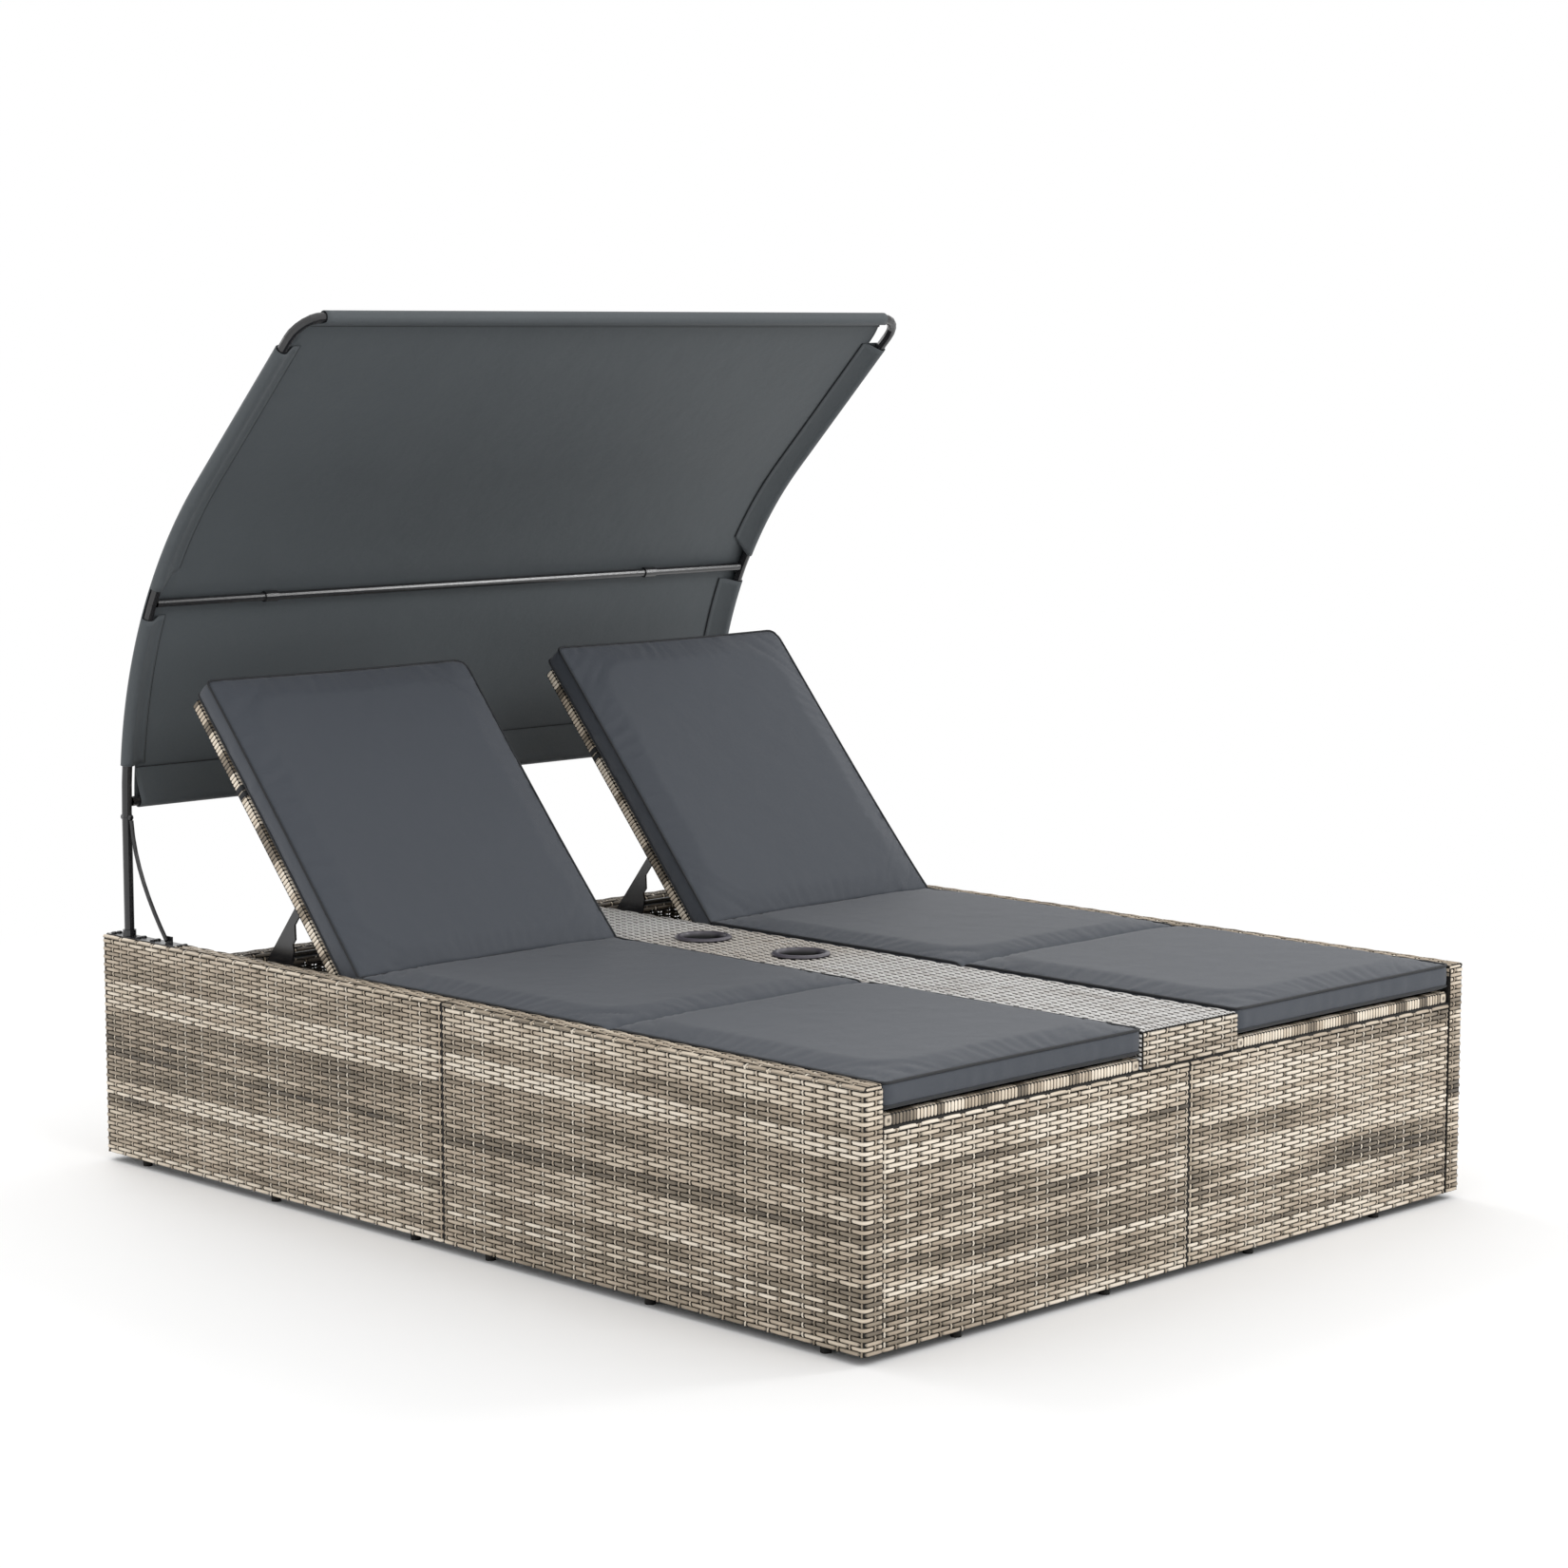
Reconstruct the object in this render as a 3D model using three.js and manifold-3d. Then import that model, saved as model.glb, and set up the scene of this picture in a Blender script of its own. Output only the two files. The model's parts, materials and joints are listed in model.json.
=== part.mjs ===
// Outdoor daybed for two: a woven box base, two loungers with reclining backs,
// a console with two cup holders between them, and a fabric canopy over the head end.
// Millimetres. X runs across the bed, Y from the foot end (-Y) to the head end (+Y), Z is up.
// The origin is on the ground under the middle of the bed.
import * as THREE from 'three';
import { mergeVertices } from 'three/addons/utils/BufferGeometryUtils.js';
import Module from 'manifold-3d';

// Driving dimensions of the whole bed
const bedLength = 2000;
const bedWidth = 1560;
const sidePanelHeight = 418;
const endPanelDrop = 67;
const panelThickness = 38;
const consoleWidth = 246;
const consoleTopDrop = 4;

// Clearances and cuts
const fit = 0.3;
const pinClearance = 0.3;
const overrun = 1;

// Woven panels, open towards the inside, and the glides they stand on
const weaveSkin = 6;
const panelRim = 24;
const glideHeight = 15;
const glideRadius = 9;
const sideGlideInset = 100;
const endGlideInset = 190;

// Cup holders
const cupSpacing = 260;
const cupMiddle = 42;
const cupFlangeRadius = 58;
const cupFlangeThickness = 4;
const cupWellRadius = 42;
const cupTaper = 5;
const cupDepth = 75;
const cupWall = 2.5;
const cupHoleClearance = 1;

// Cross beams and legs inside the base
const beamHeight = 40;
const beamDepth = 20;
const beamWall = 1.5;
const hingeBeamReach = 58;
const legWidth = 25;

// Lounger frames
const railSize = 19;
const frameSideGap = 6;
const frameFootInset = 2;
const hingeInset = 692;
const hingeGap = 14;
const deckThickness = 6;
const deckDrop = 1;
const backLength = 680;
const lowerRailReach = 24;

// Hinges of the backs
const hingePinRadius = 4;
const hingeLugThickness = 4;
const hingeLugRadius = 11;
const pinHeadRadius = 7;
const pinHeadThickness = 3;

// Cushions
const cushionThickness = 50;
const cushionSideGap = 8;
const seatCushionEndGap = 12;
const seatChannelShare = 0.49;
const seatCushionLean = 40;
const backCushionStart = 20;
const backCushionLean = 25;
const backCushionOverhang = 5;
const cushionCrown = 12;
const cushionDrawIn = 6;

// Reclining positions in degrees above the seat, and the place of the props at rest
const restRecline = 49;
const reclinePositions = [13, 26, 37, 49, 59, 73];
const propSlopeAtRest = 51;
const propRatio = -0.817;
const propPivotReach = 240;
const propPivotDepth = 15;

// Prop arms, toothed plates that drop over a catch rod
const armThickness = 4;
const armInset = 34;
const armHalfWidth = 9;
const armShank = 52;
const armNose = 26;
const armBackReach = 180;
const armTailDepth = 34;
const notchDepth = 10;
const notchLead = 16;
const notchHeel = 4;
const armClearance = 2.5;
const propLugThickness = 6;
const propLugRadius = 12;
const propPinRadius = 4;
const tieRadius = 6;
const tieReach = 150;
const catchRodRadius = 5;
const catchRodReach = 247;
const catchRodDrop = 58.8;
const catchFlangeRadius = 14;
const catchFlangeThickness = 3;

// Canopy frame
const tubeRadius = 9.5;
const tubeWall = 1.2;
const postInset = 57;
const postJointRise = 229;
const archStartRise = 242;
const archRadius = 869;
const archEndAngle = 45;
const midBarAngle = 27;
const archLeg = 430;
const cornerRadius = 50;
const midBarRadius = 8;
const collarRadius = 10.5;
const collarLength = 30;
const collarX = 490;
const rearBarRise = 258;
const plateLength = 214;
const plateWidth = 30;
const plateThickness = 3;
const plateEndInset = 3;
const socketWall = 3;
const socketHeight = 12;
const braceRadius = 4;
const braceTopRise = 224;
const braceFootReach = 119;
const braceBendReach = 22;
const braceBendRise = 123;
const earHeight = 12;
const earLength = 20;
const earThickness = 3;

// Canopy cloth, a sheet over the outside of the tubes with sleeves sewn round them
const clothThickness = 2.2;
const sleeveGap = 1.3;
const sleeveStartRise = 327;
const sleeveCornerGap = 80;
const topHemCornerGap = 54;
const rearHemEndGap = 16;
const sleeveSlitLength = 26;
const sleeveSlitGap = 2;

// Numbers of flats and steps
const roundSides = 16;
const tubeSides = 12;
const sleeveSides = 10;
const cupSides = 24;
const archSteps = 12;
const cornerSteps = 6;
const braceSteps = 8;

// Places worked out from the sizes above
const halfLength = bedLength / 2;
const halfWidth = bedWidth / 2;
const endPanelHeight = sidePanelHeight - endPanelDrop;
const panelTop = glideHeight + sidePanelHeight;
const bearingTop = glideHeight + endPanelHeight;
const consoleHeight = endPanelDrop - consoleTopDrop - fit;
const consoleTop = bearingTop + fit + consoleHeight;
const innerWallX = halfWidth - panelThickness;
const innerSkinX = halfWidth - weaveSkin;
const bayWidth = innerWallX - consoleWidth / 2;
const bayCentre = innerWallX - bayWidth / 2;
const frameWidth = bayWidth - 2 * frameSideGap;
const cushionWidth = bayWidth - 2 * cushionSideGap;
const railCentreZ = bearingTop + fit + railSize / 2;
const frameFootY = -halfLength + frameFootInset;
const hingeY = halfLength - hingeInset;
const frameHeadY = hingeY - hingeGap;
const restAngle = THREE.MathUtils.degToRad(restRecline);
const catchRodY = hingeY + catchRodReach;
const catchRodZ = railCentreZ - catchRodDrop;
const postX = halfWidth - panelThickness / 2;
const postY = halfLength - postInset;
const braceFootY = postY - braceFootReach;
const postJointHeight = panelTop + postJointRise;
const archStartHeight = panelTop + archStartRise;
const rearBarHeight = panelTop + rearBarRise;
const sleeveStartHeight = panelTop + sleeveStartRise;
const plateTop = panelTop + fit + plateThickness;
const cornerPlace = archPoint(archEndAngle).addScaledVector(archDirection(archEndAngle), archLeg);

const wasm = await Module();
wasm.setup();

// Materials
const wicker = new THREE.MeshStandardMaterial({ color: 0xa89b8b, roughness: 0.75, metalness: 0 });
const fabric = new THREE.MeshStandardMaterial({ color: 0x4a4f54, roughness: 0.9, metalness: 0 });
const canopyFabric = new THREE.MeshStandardMaterial({ color: 0x44494c, roughness: 0.85, metalness: 0 });
const steel = new THREE.MeshStandardMaterial({ color: 0x232326, roughness: 0.45, metalness: 0.6 });
const plastic = new THREE.MeshStandardMaterial({ color: 0x1a1a1c, roughness: 0.25, metalness: 0 });

// Solids from closed geometries, for joining and cutting
function solidOf(geometry) {
  const bare = geometry.clone();
  bare.deleteAttribute('normal');
  bare.deleteAttribute('uv');
  const merged = mergeVertices(bare);
  const vertProperties = new Float32Array(merged.attributes.position.array);
  const triVerts = new Uint32Array(merged.index.array);
  return new wasm.Manifold(new wasm.Mesh({ numProp: 3, vertProperties, triVerts }));
}

function geometryOf(solid) {
  const { vertProperties, triVerts } = solid.getMesh();
  const geometry = new THREE.BufferGeometry();
  geometry.setAttribute('position', new THREE.BufferAttribute(new Float32Array(vertProperties), 3));
  geometry.setIndex(new THREE.BufferAttribute(new Uint32Array(triVerts), 1));
  geometry.computeVertexNormals();
  return geometry;
}

function joined(...geometries) {
  const solids = geometries.map(solidOf);
  return geometryOf(solids.reduce((sum, solid) => sum.add(solid)));
}

function cut(body, ...tools) {
  const solids = tools.map(solidOf);
  return geometryOf(solids.reduce((rest, tool) => rest.subtract(tool), solidOf(body)));
}

// Boxes and rods between two corners or ends
function boxBetween(low, high) {
  const size = high.map((value, axis) => value - low[axis]);
  const middle = high.map((value, axis) => (value + low[axis]) / 2);
  return new THREE.BoxGeometry(...size).translate(...middle);
}

function rodAcross(radius, fromX, toX, y, z, sides = roundSides) {
  const rod = new THREE.CylinderGeometry(radius, radius, toX - fromX, sides);
  return rod.rotateZ(Math.PI / 2).translate((fromX + toX) / 2, y, z);
}

function rodUp(radius, x, y, fromZ, toZ, sides = roundSides) {
  const rod = new THREE.CylinderGeometry(radius, radius, toZ - fromZ, sides);
  return rod.rotateX(Math.PI / 2).translate(x, y, (fromZ + toZ) / 2);
}

// A plate whose outline is drawn as (y, z) points, standing across X
function plateAcross(outline, fromX, toX) {
  const shape = new THREE.Shape(outline.map(([y, z]) => new THREE.Vector2(y, z)));
  const plate = new THREE.ExtrudeGeometry(shape, { depth: toX - fromX, bevelEnabled: false });
  const turn = new THREE.Matrix4().makeBasis(
    new THREE.Vector3(0, 1, 0),
    new THREE.Vector3(0, 0, 1),
    new THREE.Vector3(1, 0, 0),
  );
  return plate.applyMatrix4(turn).translate(fromX, 0, 0);
}

// A flat plate whose outline is drawn as (x, y) points, with square holes
function plateUp(outline, holes, fromZ, toZ) {
  const shape = new THREE.Shape(outline.map(([x, y]) => new THREE.Vector2(x, y)));
  for (const hole of holes) {
    shape.holes.push(new THREE.Path(hole.map(([x, y]) => new THREE.Vector2(x, y))));
  }
  const plate = new THREE.ExtrudeGeometry(shape, { depth: toZ - fromZ, bevelEnabled: false });
  return plate.translate(0, 0, fromZ);
}

// A turned piece about the X axis, hollow from end to end
function turnedTube(profile, wall) {
  const outer = profile.map(([x, radius]) => new THREE.Vector2(radius, x));
  const inner = profile.map(([x]) => new THREE.Vector2(profile[0][1] - wall, x)).reverse();
  const outline = [...outer, ...inner, outer[0].clone()];
  return new THREE.LatheGeometry(outline, tubeSides).rotateZ(-Math.PI / 2);
}

// A path that is followed exactly from one station to the next
class StationPath extends THREE.Curve {
  constructor(stations) {
    super();
    this.stations = stations;
  }

  stationAt(share) {
    return this.stations[Math.round(share * (this.stations.length - 1))];
  }

  getPoint(share) {
    return this.stationAt(share).point.clone();
  }

  getPointAt(share) {
    return this.getPoint(share);
  }

  getTangentAt(share) {
    return this.stationAt(share).direction.clone();
  }
}

function ringShape(outerRadius, innerRadius, sides) {
  const corners = (radius) => Array.from({ length: sides }, (_, index) => {
    const angle = (2 * Math.PI * index) / sides;
    return new THREE.Vector2(radius * Math.cos(angle), radius * Math.sin(angle));
  });
  const shape = new THREE.Shape(corners(outerRadius));
  if (innerRadius > 0) {
    shape.holes.push(new THREE.Path(corners(innerRadius).reverse()));
  }
  return shape;
}

function tubeAlong(stations, outerRadius, innerRadius, sides) {
  return new THREE.ExtrudeGeometry(ringShape(outerRadius, innerRadius, sides), {
    steps: stations.length - 1,
    extrudePath: new StationPath(stations),
    bevelEnabled: false,
  });
}

// Woven panels. In its own frame a panel runs along X, its outer face looks to -Y,
// its lower edge is at Z = 0 and its glides hang below it.
function panelGeometry(span, height, glideInsets) {
  const outer = boxBetween([-span / 2, 0, 0], [span / 2, panelThickness, height]);
  const pocket = boxBetween(
    [-span / 2 + panelRim, weaveSkin, panelRim],
    [span / 2 - panelRim, panelThickness + overrun, height - panelRim],
  );
  const glides = glideInsets.map((x) => rodUp(glideRadius, x, panelThickness / 2, -glideHeight, overrun));
  return joined(cut(outer, pocket), ...glides);
}

function sidePanel(name, side, end) {
  const span = halfLength - fit / 2;
  const reach = span / 2 - sideGlideInset;
  const mesh = named(name, panelGeometry(span, sidePanelHeight, [-reach, 0, reach]), wicker);
  mesh.rotation.z = (side * Math.PI) / 2;
  mesh.position.set(side * halfWidth, end * (halfLength - span / 2), glideHeight);
  return mesh;
}

function endPanel(name, side, end) {
  const span = innerWallX - fit - fit / 2;
  const reach = span / 2 - endGlideInset;
  const mesh = named(name, panelGeometry(span, endPanelHeight, [-reach, reach]), wicker);
  mesh.rotation.z = end > 0 ? Math.PI : 0;
  mesh.position.set(side * (fit / 2 + span / 2), end * halfLength, glideHeight);
  return mesh;
}

// The console between the loungers, in a head half and a foot half
function consoleHalf(name, end, cupY) {
  const from = end > 0 ? fit / 2 : -halfLength;
  const to = end > 0 ? halfLength : -fit / 2;
  const half = consoleWidth / 2;
  const shell = boxBetween([-half, from, 0], [half, to, consoleHeight]);
  const pocket = boxBetween(
    [-half + weaveSkin, from + weaveSkin, -overrun],
    [half - weaveSkin, to - weaveSkin, consoleHeight - weaveSkin],
  );
  const holeRadius = cupWellRadius + cupHoleClearance;
  const hole = rodUp(holeRadius, 0, cupY, -overrun, consoleHeight + overrun, cupSides);
  const mesh = named(name, cut(shell, pocket, hole), wicker);
  mesh.position.z = bearingTop + fit;
  return mesh;
}

function cupHolder(name, y) {
  const floorRadius = cupWellRadius - cupTaper;
  const profile = [
    [0, -cupDepth],
    [floorRadius, -cupDepth],
    [cupWellRadius, 0],
    [cupFlangeRadius, 0],
    [cupFlangeRadius, cupFlangeThickness / 2],
    [cupFlangeRadius - cupFlangeThickness, cupFlangeThickness],
    [cupWellRadius, cupFlangeThickness],
    [cupWellRadius - cupWall, cupFlangeThickness / 2],
    [floorRadius - cupWall, cupWall - cupDepth],
    [0, cupWall - cupDepth],
  ];
  const outline = profile.map(([radius, z]) => new THREE.Vector2(radius, z));
  const mesh = named(name, new THREE.LatheGeometry(outline, cupSides).rotateX(Math.PI / 2), plastic);
  mesh.position.set(0, y, consoleTop + fit);
  return mesh;
}

// Beams, legs and catch rods inside the base
function crossBeam(name, y, reach) {
  const half = beamDepth / 2;
  const low = [-reach, y - half, bearingTop - beamHeight];
  const high = [reach, y + half, bearingTop];
  const bore = boxBetween(
    [-reach - overrun, y - half + beamWall, bearingTop - beamHeight + beamWall],
    [reach + overrun, y + half - beamWall, bearingTop - beamWall],
  );
  return named(name, cut(boxBetween(low, high), bore), steel);
}

function centreLeg(name, y, top) {
  const half = legWidth / 2;
  const inner = half - beamWall;
  const leg = boxBetween([-half, y - half, 0], [half, y + half, top]);
  const bore = boxBetween([-inner, y - inner, -overrun], [inner, y + inner, top + overrun]);
  return named(name, cut(leg, bore), steel);
}

function catchRod(name, side) {
  const inner = legWidth / 2 + fit;
  const outer = innerSkinX - fit;
  const rod = rodAcross(catchRodRadius, inner, outer, catchRodY, catchRodZ);
  const flange = rodAcross(catchFlangeRadius, outer - catchFlangeThickness, outer, catchRodY, catchRodZ);
  const mesh = named(name, joined(rod, flange), steel);
  mesh.rotation.z = side < 0 ? Math.PI : 0;
  mesh.position.y = side < 0 ? 2 * catchRodY : 0;
  return mesh;
}

// Lounger frames and their woven decks. Outlines are drawn flat, centred on X.
function rectangle(halfSpan, fromY, toY) {
  return [[-halfSpan, fromY], [halfSpan, fromY], [halfSpan, toY], [-halfSpan, toY]];
}

function seatFrame(name) {
  const half = frameWidth / 2;
  const opening = rectangle(half - railSize, frameFootY + railSize, frameHeadY - railSize);
  const outline = rectangle(half, frameFootY, frameHeadY);
  return named(name, plateUp(outline, [opening], railCentreZ - railSize / 2, railCentreZ + railSize / 2), wicker);
}

function deck(name, fromY, toY, middleZ) {
  const half = frameWidth / 2 - railSize - fit;
  const top = middleZ + railSize / 2 - deckDrop;
  const low = [-half, fromY + railSize + fit, top - deckThickness];
  const high = [half, toY - railSize - fit, top];
  return named(name, boxBetween(low, high), wicker);
}

function backFrame(name) {
  const half = frameWidth / 2;
  const inner = half - railSize;
  const foot = -railSize / 2;
  const outline = [
    [-half, foot], [-inner, foot], [-inner, lowerRailReach], [inner, lowerRailReach],
    [inner, foot], [half, foot], [half, backLength], [-half, backLength],
  ];
  const opening = rectangle(inner, lowerRailReach + railSize, backLength - railSize);
  const frame = plateUp(outline, [opening], -railSize / 2, railSize / 2);
  const lugs = [-1, 1].map((side) => propLug(side));
  const bores = [hingePinRadius, propPinRadius].map((radius, index) => rodAcross(
    radius + pinClearance,
    -half - overrun,
    half + overrun,
    index * propPivotReach,
    -index * propPivotDepth,
  ));
  return named(name, cut(joined(frame, ...lugs), ...bores), wicker);
}

// A lug that hangs under a back's side rail and carries the props' pin
function propLug(side) {
  const outer = side * (frameWidth / 2 - railSize + overrun);
  const inner = side * (frameWidth / 2 - railSize - propLugThickness);
  const outline = [
    [propPivotReach - propLugRadius, railSize / 2 - deckDrop - deckThickness - fit],
    [propPivotReach - propLugRadius, -propPivotDepth - propLugRadius],
    [propPivotReach + propLugRadius, -propPivotDepth - propLugRadius],
    [propPivotReach + propLugRadius, railSize / 2 - deckDrop - deckThickness - fit],
  ];
  return plateAcross(outline, Math.min(outer, inner), Math.max(outer, inner));
}

// Hinge lugs stand on the seat frame's rear rail, and a headed pin joins each to the back
function hingeLug(name, side) {
  const outer = side * (frameWidth / 2 - railSize - fit);
  const inner = outer - side * hingeLugThickness;
  const outline = [
    [frameHeadY + fit, railCentreZ - hingeLugRadius],
    [hingeY + hingeLugRadius, railCentreZ - hingeLugRadius],
    [hingeY + hingeLugRadius, railCentreZ + railSize / 2],
    [frameHeadY + fit, railCentreZ + railSize / 2],
  ];
  const lug = plateAcross(outline, Math.min(outer, inner), Math.max(outer, inner));
  const boreRadius = hingePinRadius + pinClearance;
  const boreStart = Math.min(outer, inner) - overrun;
  const boreEnd = Math.max(outer, inner) + overrun;
  return named(name, cut(lug, rodAcross(boreRadius, boreStart, boreEnd, hingeY, railCentreZ)), steel);
}

function hingePin(name, side) {
  const outer = frameWidth / 2;
  const inner = outer - railSize - 2 * fit - hingeLugThickness;
  const shank = rodAcross(hingePinRadius, inner - overrun, outer, hingeY, railCentreZ);
  const head = rodAcross(pinHeadRadius, inner - pinHeadThickness, inner, hingeY, railCentreZ);
  const mesh = named(name, joined(shank, head), steel);
  mesh.rotation.z = side < 0 ? Math.PI : 0;
  mesh.position.y = side < 0 ? 2 * hingeY : 0;
  return mesh;
}

// Cushions: crowned between their seams, with sides that draw in between the corners.
// A cushion starts at Y = 0 and rests on Z = 0. Its ends may lean in towards the top.
function cushionGeometry(width, length, channels, startLean, endLean) {
  const crossShares = [0, 0.05, 0.18, 0.36, 0.5, 0.64, 0.82, 0.95, 1];
  const sectionShares = [0, 0.04, 0.14, 0.32, 0.5, 0.68, 0.86, 0.96, 1];
  const edges = [0, ...channels.map((channel) => channel / length), 1];
  const rows = [];
  for (let section = 0; section + 1 < edges.length; section += 1) {
    for (const share of sectionShares.slice(section > 0 ? 1 : 0)) {
      const along = edges[section] + (edges[section + 1] - edges[section]) * share;
      rows.push({ along, swell: swellAt(share) });
    }
  }
  const positions = [];
  for (const level of [0, 1]) {
    for (const row of rows) {
      for (const across of crossShares) {
        const drawX = cushionDrawIn * Math.sin(Math.PI * row.along);
        const drawY = cushionDrawIn * Math.sin(Math.PI * across);
        const startY = level * startLean + drawY;
        const endY = length - level * endLean - drawY;
        positions.push(
          (across - 0.5) * (width - 2 * drawX),
          startY + (endY - startY) * row.along,
          level * (cushionThickness + cushionCrown * swellAt(across) * row.swell),
        );
      }
    }
  }
  return closedGrid(positions, rows.length, crossShares.length);
}

function swellAt(share) {
  return 1 - Math.abs(2 * share - 1) ** 3;
}

// Two grids of points, one over the other, closed round their edges
function closedGrid(positions, rowCount, columnCount) {
  const upper = rowCount * columnCount;
  const indices = [];
  for (let row = 0; row + 1 < rowCount; row += 1) {
    for (let column = 0; column + 1 < columnCount; column += 1) {
      const near = row * columnCount + column;
      const far = near + columnCount;
      indices.push(near, far, near + 1, near + 1, far, far + 1);
      indices.push(upper + near, upper + near + 1, upper + far);
      indices.push(upper + near + 1, upper + far + 1, upper + far);
    }
  }
  for (const [from, to] of rimEdges(rowCount, columnCount)) {
    indices.push(from, to, upper + from, to, upper + to, upper + from);
  }
  const geometry = new THREE.BufferGeometry();
  geometry.setAttribute('position', new THREE.Float32BufferAttribute(positions, 3));
  geometry.setIndex(indices);
  geometry.computeVertexNormals();
  return geometry;
}

// The edges round a grid, in the order that keeps its upper side on the left
function rimEdges(rowCount, columnCount) {
  const rim = [];
  for (let column = 0; column + 1 < columnCount; column += 1) {
    rim.push(column);
  }
  for (let row = 0; row + 1 < rowCount; row += 1) {
    rim.push(row * columnCount + columnCount - 1);
  }
  for (let column = columnCount - 1; column > 0; column -= 1) {
    rim.push((rowCount - 1) * columnCount + column);
  }
  for (let row = rowCount - 1; row > 0; row -= 1) {
    rim.push(row * columnCount);
  }
  return rim.map((corner, index) => [corner, rim[(index + 1) % rim.length]]);
}

function seatCushion(name) {
  const length = hingeY - seatCushionEndGap + halfLength;
  const channel = length * seatChannelShare;
  const mesh = named(name, cushionGeometry(cushionWidth, length, [channel], 0, seatCushionLean), fabric);
  mesh.position.set(0, -halfLength, railCentreZ + railSize / 2 + fit);
  return mesh;
}

function backCushion(name) {
  const length = backLength + backCushionOverhang - backCushionStart;
  const mesh = named(name, cushionGeometry(cushionWidth, length, [], backCushionLean, 0), fabric);
  mesh.position.set(0, backCushionStart, railSize / 2 + fit);
  return mesh;
}

// The props. An arm's own frame has Y along the arm from its pivot and -Z towards its teeth.
function turned(y, z, degrees) {
  const angle = THREE.MathUtils.degToRad(degrees);
  return [y * Math.cos(angle) - z * Math.sin(angle), y * Math.sin(angle) + z * Math.cos(angle)];
}

function propPivotAt(recline) {
  const [y, z] = turned(propPivotReach, -propPivotDepth, recline);
  return [hingeY + y, railCentreZ + z];
}

// Where the catch rod lies in the arm's frame when the back stands at a given angle
function catchInArm(recline) {
  const [pivotY, pivotZ] = propPivotAt(recline);
  const slope = propSlopeAtRest - (1 + propRatio) * (recline - restRecline);
  const [along, up] = turned(catchRodY - pivotY, catchRodZ - pivotZ, slope);
  return { along, depth: -up };
}

function armOutline() {
  const reach = catchRodRadius + armClearance;
  const notches = reclinePositions.map(catchInArm);
  const last = notches[notches.length - 1];
  const outline = [];
  const roundSteps = cornerSteps;
  for (let step = 0; step <= roundSteps; step += 1) {
    const angle = Math.PI / 2 + (Math.PI * step) / roundSteps;
    outline.push([armHalfWidth * Math.cos(angle), armHalfWidth * Math.sin(angle)]);
  }
  outline.push([armShank, -armHalfWidth]);
  let before = catchInArm(0);
  for (const notch of notches) {
    const { along, depth } = notch;
    const leadShare = notchLead / (along - before.along);
    const leadDepth = depth - leadShare * (depth - before.depth);
    outline.push([along - notchLead, reach - leadDepth]);
    outline.push([along - notchHeel, reach - depth + notchDepth]);
    outline.push([along + notchHeel, reach - depth]);
    before = notch;
  }
  const lastEdge = last.depth - reach;
  outline.push([last.along + armNose, -lastEdge]);
  outline.push([last.along + armNose, -lastEdge + armTailDepth]);
  outline.push([armBackReach, armHalfWidth]);
  return outline;
}

function propArm(name, side) {
  const outer = side * (frameWidth / 2 + frameSideGap - armInset);
  const inner = outer - side * armThickness;
  const arm = plateAcross(armOutline(), Math.min(outer, inner), Math.max(outer, inner));
  const bore = rodAcross(
    propPinRadius + pinClearance,
    Math.min(outer, inner) - overrun,
    Math.max(outer, inner) + overrun,
    0,
    0,
  );
  return named(name, cut(arm, bore), steel);
}

function propTie(name) {
  const reach = frameWidth / 2 + frameSideGap - armInset - armThickness - fit;
  return named(name, rodAcross(tieRadius, -reach, reach, tieReach, 0), steel);
}

function propPin(name) {
  const reach = frameWidth / 2 - railSize - overrun;
  return named(name, rodAcross(propPinRadius, -reach, reach, propPivotReach, -propPivotDepth), steel);
}

function lounger(prefix, side) {
  const group = new THREE.Group();
  group.position.x = side * bayCentre;
  group.add(seatFrame(`${prefix}_seat_frame`));
  group.add(deck(`${prefix}_seat_deck`, frameFootY, frameHeadY, railCentreZ));
  group.add(seatCushion(`${prefix}_seat_cushion`));
  for (const [label, place] of [['outer', side], ['inner', -side]]) {
    group.add(hingeLug(`${prefix}_hinge_lug_${label}`, place));
    group.add(hingePin(`${prefix}_hinge_pin_${label}`, place));
  }
  group.add(reclinedBack(prefix));
  group.add(prop(prefix, side));
  return group;
}

function reclinedBack(prefix) {
  const back = new THREE.Group();
  back.position.set(0, hingeY, railCentreZ);
  back.rotation.x = restAngle;
  back.add(backFrame(`${prefix}_back_frame`));
  back.add(deck(`${prefix}_back_deck`, lowerRailReach, backLength, 0));
  back.add(backCushion(`${prefix}_back_cushion`));
  back.add(propPin(`${prefix}_prop_pin`));
  return back;
}

function prop(prefix, side) {
  const group = new THREE.Group();
  const [y, z] = propPivotAt(restRecline);
  group.position.set(0, y, z);
  group.rotation.x = -THREE.MathUtils.degToRad(propSlopeAtRest);
  group.add(propArm(`${prefix}_prop_arm_outer`, side));
  group.add(propArm(`${prefix}_prop_arm_inner`, -side));
  group.add(propTie(`${prefix}_prop_tie`));
  return group;
}

// The canopy frame's side, an arch that starts upright and ends in a straight leg
function archPoint(degrees) {
  const angle = THREE.MathUtils.degToRad(degrees);
  const y = postY - archRadius * (1 - Math.cos(angle));
  return new THREE.Vector3(0, y, archStartHeight + archRadius * Math.sin(angle));
}

function archAngleAt(height) {
  return THREE.MathUtils.radToDeg(Math.asin((height - archStartHeight) / archRadius));
}

function archDirection(degrees) {
  const angle = THREE.MathUtils.degToRad(degrees);
  return new THREE.Vector3(0, -Math.sin(angle), Math.cos(angle));
}

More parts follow.
